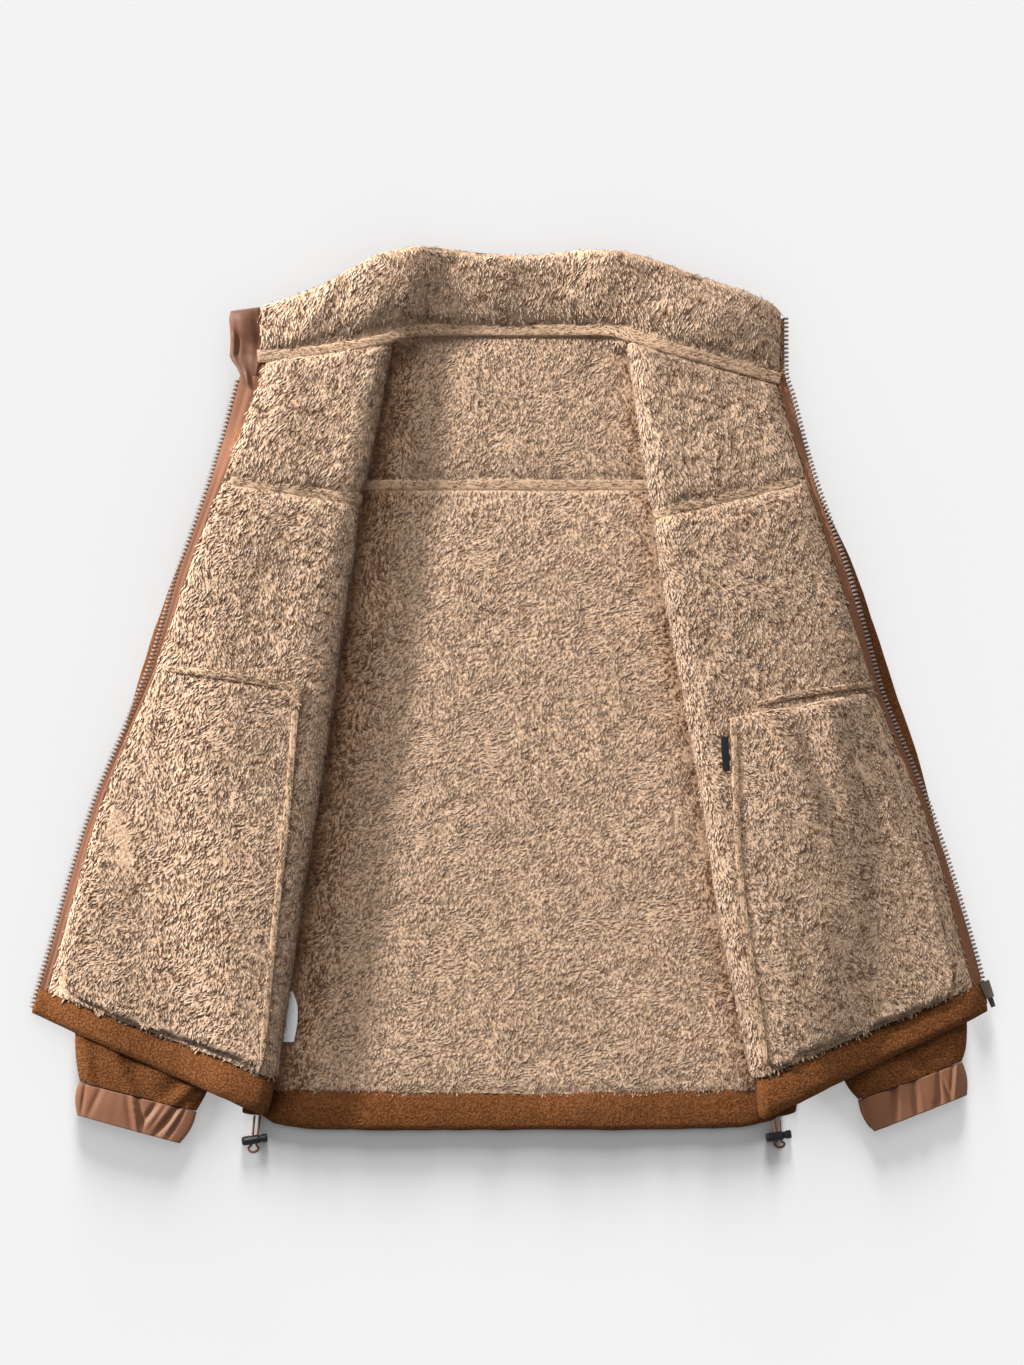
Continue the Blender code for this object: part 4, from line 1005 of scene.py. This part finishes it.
# step is between the stations where the CAD's tape and chain are measured, and width the right tape's above
# where the CAD has one
zipLook = {"step": 4.0, "width": 5.5, "beyond": 0.3, "sink": 0.8, "depth": 1.3,
           "toothOut": 1.1, "toothDown": 0.2}


def makeToothTree():
    tree, given, out = newGroup(
        "GeometryNodeTree", "zipTeeth",
        [("Line", "NodeSocketGeometry", None), ("Pitch", "NodeSocketFloat", 0.0029),
         ("Length", "NodeSocketFloat", 0.0016), ("Width", "NodeSocketFloat", 0.003),
         ("Height", "NodeSocketFloat", 0.002), ("Finish", "NodeSocketMaterial", None)],
        [("Teeth", "NodeSocketGeometry")],
    )
    curve = addNode(tree, "GeometryNodeMeshToCurve", {"Mesh": given["Line"]}).outputs[0]
    steps = addNode(tree, "GeometryNodeResampleCurve", {"Curve": curve, "Length": given["Pitch"]},
                    mode="LENGTH")
    tangent = addNode(tree, "GeometryNodeInputTangent").outputs[0]
    size = joinAxes(tree, given["Length"], given["Width"], given["Height"])
    block = addNode(tree, "GeometryNodeMeshCube", {"Size": size}).outputs["Mesh"]
    tooth = addNode(tree, "GeometryNodeSubdivisionSurface", {"Mesh": block, "Level": 1}).outputs[0]
    teeth = addNode(tree, "GeometryNodeInstanceOnPoints", {
        "Points": steps.outputs[0], "Instance": tooth, "Rotation": turnedTo(tree, (0.0, 0.0, 1.0), tangent),
    }).outputs[0]
    tree.links.new(realized(tree, teeth, given["Finish"]), out["Teeth"])
    return tree


toothTree = makeToothTree()


# A node's sections at the stations, all held inside its ends by a margin
def heldRows(nodeName, stations, margin):
    reach = [v.co.y for v in nodes[nodeName].data.vertices]
    held = np.clip(stations, min(reach) + margin * mm, max(reach) - margin * mm)
    return held, sectionRows(nodeName, held)


# The inner and outer edge of a zip's tape. Past the CAD's own tape the left one runs on straight, and the
# right one runs beside its teeth
def zipEdges(side, look, outward):
    stations = np.arange(look["top"], look["low"], -zipLook["step"]) * mm
    chainAt, chain = heldRows("zip_chain_" + side, stations, 1.0)
    tapeAt, tape = heldRows("zip_tape_" + side, stations, 4.0)
    chainX, chainZ = chain[:, :2].mean(1), chain[:, 2:].mean(1)
    if side == "left":
        slope = (chainX[8] - chainX[16]) / (stations[8] - stations[16])  # well below its top
        chainX = chainX + (stations - chainAt) * slope
        tapeX = tape[:, 1] + (stations - tapeAt) * slope
        tapeZ = tape[:, 3] - zipLook["sink"] * mm
    else:
        above = stations > tapeAt
        tapeX = np.where(above, chainX - zipLook["width"] * mm, tape[:, 0])
        tapeZ = np.where(above, chainZ, tape[:, 3] - zipLook["sink"] * mm)
    chainX, chainZ, tapeX, tapeZ = (smoothed(v, 3) for v in (chainX, chainZ, tapeX, tapeZ))
    inner = [Vector((x - outward * look["tuck"] * mm, y, z)) for x, y, z in zip(tapeX, stations, tapeZ)]
    reach = outward * zipLook["beyond"] * mm
    outer = [Vector((x + reach, y, z)) for x, y, z in zip(chainX, stations, chainZ)]
    return inner, outer


# The teeth, along a line just outside the tape's outer edge
def makeTeeth(side, look, outward, edge):
    shift = Vector((outward * zipLook["toothOut"] * mm, 0.0, -zipLook["toothDown"] * mm))
    line = [tuple(p + shift) for p in edge if look["teethLow"] * mm < p.y < look["teethTop"] * mm]
    footAt, foot = heldRows("zip_chain_" + side, np.array([look["teethLow"] * mm]), 1.0)
    line.append((foot[0, :2].mean(), footAt[0], foot[0, 2:].mean()))
    mesh = bpy.data.meshes.new("zipLine")
    mesh.from_pydata(line, [(i, i + 1) for i in range(len(line) - 1)], [])
    teeth = linkObject("ZipChain" + side.title(), mesh)
    runRule(teeth, toothTree, toothLook, "teeth")
    teeth.data.shade_smooth()
    dress(teeth, "zip_chain_" + side)
    return teeth


def makeZips():
    for side, look in zips.items():
        outward = -1.0 if side == "left" else 1.0
        inner, outer = zipEdges(side, look, outward)
        strip = makeStrip("ZipTape" + side.title(), inner, outer, zipProfile, zipLook["depth"])
        paint(strip, "zipTape")
        dress(strip, "zip_tape_" + side)
        makeTeeth(side, look, outward, outer)


makeZips()

# The chin guard, folded over the left zip's top. Its two edges run down in pairs of (x, y)
chinGuard = {
    "outer": ((-239.2, 325.4), (-240.4, 319.1), (-239.4, 307.2), (-239.2, 297.8), (-240.0, 287.6),
              (-238.0, 283.0), (-233.5, 277.0), (-229.5, 268.0)),
    "inner": ((-214.4, 328.9), (-213.6, 319.1), (-211.6, 307.2), (-211.3, 297.8), (-212.2, 288.5),
              (-214.4, 280.0), (-216.8, 268.6), (-219.3, 255.5)),
    "high": (22.6, 23.0, 23.0, 23.0, 24.0, 25.6, 27.2, 28.6),
    # share across, share down, reach across, reach down, height
    "puffs": ((0.4, 0.22, 0.34, 0.2, 3.4), (0.55, 0.6, 0.3, 0.2, -2.4), (0.09, 0.52, 0.09, 0.22, 2.0),
              (0.24, 0.56, 0.07, 0.2, -1.4), (0.3, 0.42, 0.34, 0.05, -1.2), (0.85, 0.35, 0.12, 0.4, -1.6),
              (0.5, 0.88, 0.12, 0.12, 1.2)),
}
guardGrid = {"across": 28, "down": 56, "width": 24.0, "length": 70.0, "rounding": 1.6, "drop": 2.6,
             "slant": 0.35, "wall": 1.4}


# The guard's height at a share across and a share down: rounded off at its borders, with puffs and creases
def guardHeight(u, v, high):
    side, end = min(u, 1.0 - u) * guardGrid["width"], min(v, 1.0 - v) * guardGrid["length"]
    falls = math.exp(-side / guardGrid["rounding"]) + 0.6 * math.exp(-end / guardGrid["rounding"])
    z = high - guardGrid["drop"] * falls
    for acrossAt, downAt, acrossReach, downReach, height in chinGuard["puffs"]:
        slant = guardGrid["slant"] * (u - 0.5) * (downAt > 0.3)
        z += height * math.exp(-((u - acrossAt) / acrossReach) ** 2 - ((v - downAt - slant) / downReach) ** 2)
    return z


def makeChinGuard():
    shape = bmesh.new()
    rows = []
    stations = range(len(chinGuard["outer"]))
    for j in range(guardGrid["down"] + 1):
        v = j / guardGrid["down"]
        at = v * stations[-1]
        outer, inner = (Vector([np.interp(at, stations, [p[k] for p in chinGuard[edge]]) for k in (0, 1)])
                        for edge in ("outer", "inner"))
        high = np.interp(at, stations, chinGuard["high"])
        row = []
        for i in range(guardGrid["across"] + 1):
            u = i / guardGrid["across"]
            place = outer.lerp(inner, u)
            row.append(shape.verts.new((place.x * mm, place.y * mm, guardHeight(u, v, high) * mm)))
        rows.append(row)
    joinRows(shape, rows, False)
    bmesh.ops.recalc_face_normals(shape, faces=shape.faces)
    mesh = meshFrom(shape, "ChinGuard")
    if mesh.polygons[0].normal.z < 0:
        mesh.flip_normals()
    piece = linkObject("ChinGuard", mesh)
    addWall(piece, guardGrid["wall"])
    piece.data.shade_smooth()
    paint(piece, "chin")
    dress(piece, "chin_guard")


makeChinGuard()
print("tapes, zip and labels made")

# Linings and their pile

# Each lining: its pile's flow and look, its soft folds, the pieces sewn to it and its cut's flat size and
# area.
# The back's pile is three pieces, one for each band of Y, because one would have too many triangles
linings = {
    "lining_back": {
        "flow": -118, "swirl": 5.0, "pile": finePile, "finish": "backPile", "edge": -2.5, "under": 3.0,
        "bands": {"Upper": {"From": 0.0}, "Middle": {"From": -0.18, "To": 0.0}, "Lower": {"To": -0.18}},
        "trims": ("care_label",), "flat": (0.53, 0.517), "area": 0.247,
    },
    "lining_yoke": {
        "flow": -95, "swirl": 5.0, "pile": {**finePile, "Jitter": 0.4}, "finish": "backPile", "edge": 5.0,
        "rise": ((-114, 0.0, 296), (-104, 11.0, 298), (-96, 11.8, 300), (-88, 9.2, 302.5), (-80, 5.2, 304),
                 (-70, 2.4, 305), (-60, 0.6, 305), (-50, 0.0, 305), (50, 0.0, 305), (62, 0.6, 305),
                 (74, 2.2, 305), (84, 5.8, 304), (92, 8.6, 301), (99, 11.0, 299), (106, 11.0, 297),
                 (116, 0.0, 294)),
        "riseRun": 15.0,
        "trims": ("yoke_tape",), "flat": (0.43, 0.127), "area": 0.0487,
    },
    "lining_chest_left": {
        "flow": -118, "swirl": 2.0, "pile": combedPile,
        "trims": ("chest_tape_left",), "flat": (0.2, 0.14), "area": 0.0229,
    },
    "lining_chest_right": {
        "flow": -78, "swirl": 2.0, "pile": combedPile,
        "trims": ("chest_tape_right",), "flat": (0.21, 0.16), "area": 0.0259,
    },
    "lining_front_left": {
        "flow": -112, "swirl": 3.4, "pile": {"Jitter": 0.42}, "under": 6.0,
        "trims": ("zip_left",), "flat": (0.3, 0.52), "area": 0.113,
    },
    "lining_front_right": {
        "flow": -70, "swirl": 3.4, "pile": {"Jitter": 0.42}, "under": 6.0,
        "trims": ("zip_right", "hem_end_right"), "flat": (0.3, 0.52), "area": 0.1185,
    },
    "pocket_left": {
        "flow": -115, "swirl": 4.0, "edge": -15.0, "under": 17.0,
        "folds": ((-330, -120, -65, 110, 30, -3.0), (-352, -155, -62, 90, 22, 2.5),
                  (-312, -205, -60, 70, 24, -2.5), (-285, -150, -70, 110, 26, 2.5),
                  (-262, -60, -40, 60, 22, -2.5), (-230, -120, -80, 90, 16, -2.0)),
        "trims": ("pocket_seam_left", "pocket_corner_left", "pocket_binding_left"),
        "flat": (0.19, 0.31), "area": 0.0491,
    },
    "pocket_right": {
        "flow": -70, "swirl": 4.0, "edge": -15.0, "under": 17.0,
        "folds": ((232, -52, -65, 120, 15, 3.0), (252, -46, -70, 100, 14, -3.0),
                  (272, -40, -74, 90, 16, 3.0), (296, -48, -78, 100, 16, -3.2),
                  (318, -92, -72, 80, 16, 2.5), (262, -150, -60, 60, 20, -2.4),
                  (290, -190, -62, 80, 24, 2.0), (244, -215, -75, 80, 16, -2.0)),
        "trims": ("pocket_seam_right", "pocket_binding_right", "side_label"),
        "flat": (0.18, 0.3), "area": 0.0455,
    },
    "lining_collar": {
        "flow": -98, "swirl": 3.0, "pile": combedPile, "finish": "collarPile",
        "folds": ((-160, 338, 62, 70, 20, 4.0), (-107, 322, 60, 56, 12, -2.0), (-88, 348, 80, 60, 22, 4.0),
                  (-35, 345, 85, 60, 24, 2.5), (-62, 345, 88, 50, 12, -2.5), (75, 345, 95, 60, 24, 3.0),
                  (40, 345, 90, 50, 14, -2.0), (118, 345, 110, 50, 14, -2.5), (165, 322, -30, 80, 20, 2.5)),
        "trims": ("neck_tape",), "flat": (0.49, 0.075), "area": 0.0327,
    },
}
clothUneven = {"size": 13.0, "height": 1.1}
pileDepth = 1.8  # how far the cloth sinks to make room for its pile


def shapeLining(nodeName, look, seed):
    cloth = softCopy(nodeName, pieceName(nodeName) + "Cloth", 2)
    roughen(cloth, **clothUneven, seed=seed)
    if "edge" in look:
        drawEdge(cloth, look["edge"])
    if "under" in look:
        undercut(cloth, look["under"])
    if "rise" in look:
        raiseToNeck(cloth, look["rise"], look["riseRun"])
    sinkTop(cloth, pileDepth)
    raiseFolds(cloth, look.get("folds", ()))
    markFurry(cloth, nodeName)
    markNooks(cloth)
    return cloth


def makeLinings():
    for seed, (nodeName, look) in enumerate(linings.items()):
        cloth = shapeLining(nodeName, look, seed + 1)
        own = {**pileLook, "Flow": math.radians(look["flow"]), "Swirl": look["swirl"], "Seed": seed + 11,
               **look.get("pile", {})}
        name = cloth.name.replace("Cloth", "Pile")
        piles = [growPile(cloth, name + ending, {**own, **band}, look.get("finish", "pile"))
                 for ending, band in look.get("bands", {"": {}}).items()]
        paint(cloth, "pileCloth")
        dress(cloth, nodeName)


makeLinings()
print("linings and pile made")

# Brown fleece

fleecePieces = {
    "shell_back": {"levels": 1, "rounding": "SIMPLE", "held": "laid", "flat": (0.54, 0.65), "area": 0.309},
    "shell_front_left": {"levels": 1, "finish": "facing", "held": "folded", "flat": (0.33, 0.64),
                         "area": 0.15},
    "shell_front_right": {"levels": 1, "finish": "facing", "held": "folded", "flat": (0.34, 0.64),
                          "area": 0.165},
    "shell_collar": {"levels": 1, "held": "laid", "flat": (0.49, 0.072), "area": 0.0306},
    "hem_back": {"levels": 2, "rounding": "SIMPLE", "reach": 7.0, "seed": 35, "held": "laid",
                 "flat": (0.455, 0.033), "area": 0.0144},
    "hem_front_left": {"levels": 2, "reach": 3.0, "seed": 36, "held": "folded", "flat": (0.28, 0.033),
                       "area": 0.0081},
    "hem_front_right": {"levels": 2, "reach": 3.0, "seed": 37, "held": "folded", "flat": (0.3, 0.033),
                        "area": 0.0087},
}
hemUneven = {"size": 16.0, "height": 0.9}
# down is the way that a sleeve's lower end faces, seen from above
sleeves = {
    "sleeve_left": {
        "down": (-0.24, -0.97), "flat": (0.29, 0.6), "area": 0.16,
        "folds": ((-330, -323, -61, 44, 9, 3.6), (-320, -321, -58, 44, 11, -3.4),
                  (-360, -316, -80, 40, 6, 1.8), (-353, -316, -80, 40, 6, -1.8),
                  (-279, -337, 43, 36, 8, 3.0), (-287, -331, 43, 36, 9, -2.6), (-300, -322, 30, 50, 12, 1.6)),
    },
    "sleeve_right": {
        "down": (0.34, -0.94), "flat": (0.28, 0.59), "area": 0.15,
        "folds": ((340, -310, -30, 70, 9, -3.0), (310, -320, -50, 50, 12, 2.0),
                  (365, -285, -60, 50, 12, 2.0)),
    },
}
sleeveUneven = {"size": 28.0, "height": 1.0, "seed": 41}
sleeveWall = 1.5
sleeveMouth = 12.0  # how far from the tube's furthest point a face still belongs to its end


# Takes off the end of a tube that faces down
def openEnd(obj, down):
    def reach(vector):
        return vector.x * down[0] + vector.y * down[1]

    shape = bmesh.new()
    shape.from_mesh(obj.data)
    ends = [f for f in shape.faces if reach(f.normal) > 0.93]
    furthest = max((reach(f.calc_center_median()) for f in ends), default=0)
    ends = [f for f in ends if reach(f.calc_center_median()) > furthest - sleeveMouth * mm]
    bmesh.ops.delete(shape, geom=ends, context="FACES")
    shape.to_mesh(obj.data)
    shape.free()


def makeFleece():
    for nodeName, look in fleecePieces.items():
        piece = softCopy(nodeName, pieceName(nodeName), look["levels"], look.get("rounding", "CATMULL_CLARK"))
        if "reach" in look:
            roughen(piece, **hemUneven, seed=look["seed"])
            drawEdge(piece, look["reach"])
        markNooks(piece)
        paint(piece, look.get("finish", "fleece"))
        dress(piece, nodeName)


def makeSleeves():
    for nodeName, look in sleeves.items():
        piece = softCopy(nodeName, pieceName(nodeName), 2)
        raiseFolds(piece, look["folds"])
        roughen(piece, **sleeveUneven)
        openEnd(piece, look["down"])
        addWall(piece, sleeveWall)
        markNooks(piece)
        paint(piece, "fleece")
        dress(piece, nodeName)


makeFleece()
makeSleeves()
print("fleece made")

# Cuffs: smooth cloth gathered on elastic

cuffs = {
    "cuff_left": {
        "top": ((-368.6, -328.5), (-268.6, -353.5)), "end": ((-370.1, -356.2), (-282.6, -380.2)),
        "folds": 5.5, "phase": 0.4, "flat": (0.24, 0.032), "upper": 0.1,
        "creases": ((-320.8, -355.8, -82, 40, 3.6, 2.6), (-325.4, -355.8, -82, 36, 4.4, -1.6),
                    (-316.2, -356.5, -82, 36, 4.6, -2.2), (-309.3, -355.4, 55, 27, 4.2, -2.4),
                    (-304.6, -357.5, 54, 26, 4.6, 1.8), (-293.1, -360.4, 52, 32, 4.2, -2.6),
                    (-298.5, -358.6, 52, 28, 4.6, 1.6), (-288.8, -362.8, 55, 28, 3.4, 1.6),
                    (-284.9, -363.5, 60, 26, 2.8, -1.6), (-364.5, -342, 82, 28, 3.4, -1.6),
                    (-354.5, -343.9, 65, 30, 5.0, -1.3), (-341, -348, -15, 50, 26, 1.0)),
    },
    "cuff_right": {
        "top": ((381.4, -311.5), (293.4, -343.5)), "end": ((385.4, -339.2), (306.4, -370.2)),
        "folds": 7.5, "phase": 1.3, "flat": (0.24, 0.032), "upper": 0.12,
        "creases": ((323.5, -347.8, -87, 38, 4.6, -3.4), (328.5, -346.5, -87, 34, 5.0, 0.9),
                    (341.0, -341.4, -83, 38, 4.2, -3.2), (346.0, -340.0, -83, 34, 5.0, 0.9),
                    (361.4, -334.6, -86, 40, 3.8, -3.0), (368.1, -335.6, -70, 30, 3.6, -2.0),
                    (375.3, -329.5, -94, 34, 3.0, 2.4), (371.8, -330.5, -94, 34, 3.0, -1.2),
                    (299.0, -354.1, -70, 38, 7.0, -2.6), (359.0, -347.5, -88, 9, 3.4, -2.4),
                    (312.0, -351.0, -80, 34, 12, 0.8), (333.0, -344.0, -84, 34, 9, 0.7),
                    (352.0, -338.0, -86, 34, 11, 0.9)),
    },
}
cuffLook = {"around": 240, "along": 24, "middle": 6.8, "half": 5.4, "pleat": 2.6, "wall": 1.1, "swell": 0.05,
            "sidePower": 0.8, "risePower": 0.55}


def signedPower(value, power):
    return math.copysign(abs(value) ** power, value)


# How far the gathered cloth stands out at a place of the section: side runs from edge to edge
def cuffPleat(look, side, v):
    wave = look["folds"] * math.pi * side / 2 + look["phase"] + 0.5 * math.sin(3.0 * side + 1.5 * v)
    return abs(math.sin(wave)) ** 0.75 - 0.75 + 0.22 * math.sin(4.3 * wave + 2.0)


# One ring of a cuff, a flattened tube with pleats, at the share v of the way to its end
def cuffRing(look, v):
    topOuter, topInner, endOuter, endInner = (Vector((*p, 0.0)) for p in (*look["top"], *look["end"]))
    outer, inner = topOuter.lerp(endOuter, v), topInner.lerp(endInner, v)
    middle, reach = (outer + inner) / 2, (outer - inner).length / 2
    across = (outer - inner).normalized()
    swell = 1.0 + cuffLook["swell"] * math.sin(math.pi * v)
    ring = []
    for i in range(cuffLook["around"]):
        angle = 2 * math.pi * i / cuffLook["around"]
        side = signedPower(math.cos(angle), cuffLook["sidePower"])
        rise = signedPower(math.sin(angle), cuffLook["risePower"])
        pleat = cuffPleat(look, side, v) * (look["upper"] if rise > 0 else 1.0)
        depth = cuffLook["half"] + cuffLook["pleat"] * pleat * (1.0 - 0.35 * v) * abs(math.sin(angle))
        place = middle + across * side * reach * swell
        ring.append((place.x * mm, place.y * mm, (cuffLook["middle"] + rise * depth) * mm))
    return ring


def makeCuffs():
    for nodeName, look in cuffs.items():
        shape = bmesh.new()
        steps = [j / cuffLook["along"] for j in range(cuffLook["along"] + 1)]
        rings = [[shape.verts.new(place) for place in cuffRing(look, step)] for step in steps]
        joinRows(shape, rings, True)
        bmesh.ops.recalc_face_normals(shape, faces=shape.faces)
        mesh = meshFrom(shape, pieceName(nodeName))
        piece = linkObject(pieceName(nodeName), mesh)
        middle = (Vector((*look["top"][0], 0.0)) + Vector((*look["end"][1], 0.0))) / 2 * mm
        if sum(f.normal.dot(f.center - middle) for f in mesh.polygons) < 0:
            mesh.flip_normals()
        raiseFolds(piece, look["creases"])
        addWall(piece, cuffLook["wall"])
        piece.data.shade_smooth()
        paint(piece, "cuff")
        dress(piece, nodeName)


makeCuffs()
print("cuffs made")

# The moulded parts keep their CAD form

for nodeName, finish in (("zip_slider", "slider"), ("zip_pull", "slider"), ("cord_lock_left", "black"),
                         ("cord_lock_right", "black")):
    paint(nodes[nodeName], finish)

# The elastic drawcords, on part.py's own route

cords = {
    "left": {"x": -214.5, "hem": -354.5, "lock": -375.0, "end": -386.0, "lean": 0.12},
    "right": {"x": 226.5, "hem": -358.6, "lock": -372.0, "end": -382.0, "lean": -0.12},
}
centre = (2.562, 2.232)  # what part.py takes off its tables
cordLook = {"radius": 1.0, "points": 25}


# A smooth curve through the values, at t steps from the first
def curveAt(values, t):
    last = len(values) - 1
    i = int(min(max(math.floor(t), 0), last - 1))
    f = t - i
    a, b = values[i], values[i + 1]
    slopeA = (b - values[i - 1]) / 2 if i > 0 else b - a
    slopeB = (values[i + 2] - a) / 2 if i + 2 <= last else b - a
    h = f * f * (3 - 2 * f)
    return a + (b - a) * h + slopeA * (f ** 3 - 2 * f * f + f) + slopeB * (f ** 3 - f * f)


# Down from the hem through the lock, round the loop at its end, and back on the other side
def cordRoute(look):
    marks = [
        (-2.4, look["hem"], 4.0), (-2.0, look["lock"] + 5, 4.1), (-2.0, look["lock"], 4.1),
        (-2.0, look["lock"] - 4.5, 3.9), (-4.4, look["end"] + 3.6, 2.0), (-3.0, look["end"] + 1.0, 1.3),
        (0.0, look["end"], 1.2),
    ]
    marks += [(-x, y, z) for x, y, z in marks[-2::-1]]
    columns = list(zip(*marks))
    last = cordLook["points"] - 1
    route = []
    for i in range(cordLook["points"]):
        x, y, z = (curveAt(column, i * (len(marks) - 1) / last) for column in columns)
        x += look["x"] + look["lean"] * (y - look["hem"])
        route.append(((x - centre[0]) * mm, (y - centre[1]) * mm, z * mm))
    return route


def makeCords():
    for side, look in cords.items():
        route = cordRoute(look)
        data = bpy.data.curves.new("drawcord" + side.title(), "CURVE")
        data.dimensions = "3D"
        data.bevel_depth = cordLook["radius"] * mm
        data.bevel_resolution = 3
        data.use_fill_caps = True
        line = data.splines.new("POLY")
        line.points.add(len(route) - 1)
        for point, place in zip(line.points, route):
            point.co = (*place, 1.0)
        cord = linkObject("drawcord" + side.title(), data)
        paint(cord, "zipTape")
        dress(cord, "drawcord_" + side)


makeCords()
print("cords made")

# Floor

floorLook = {"reach": 6.0, "level": -0.0002}
floorCorners = [(x * floorLook["reach"], y * floorLook["reach"], floorLook["level"])
                for x, y in ((-1, -1), (1, -1), (1, 1), (-1, 1))]
floor = linkObject("floor", bpy.data.meshes.new("floor"))
floor.data.from_pydata(floorCorners, [], [(0, 1, 2, 3)])
paint(floor, "floor")
linkLights(floor)
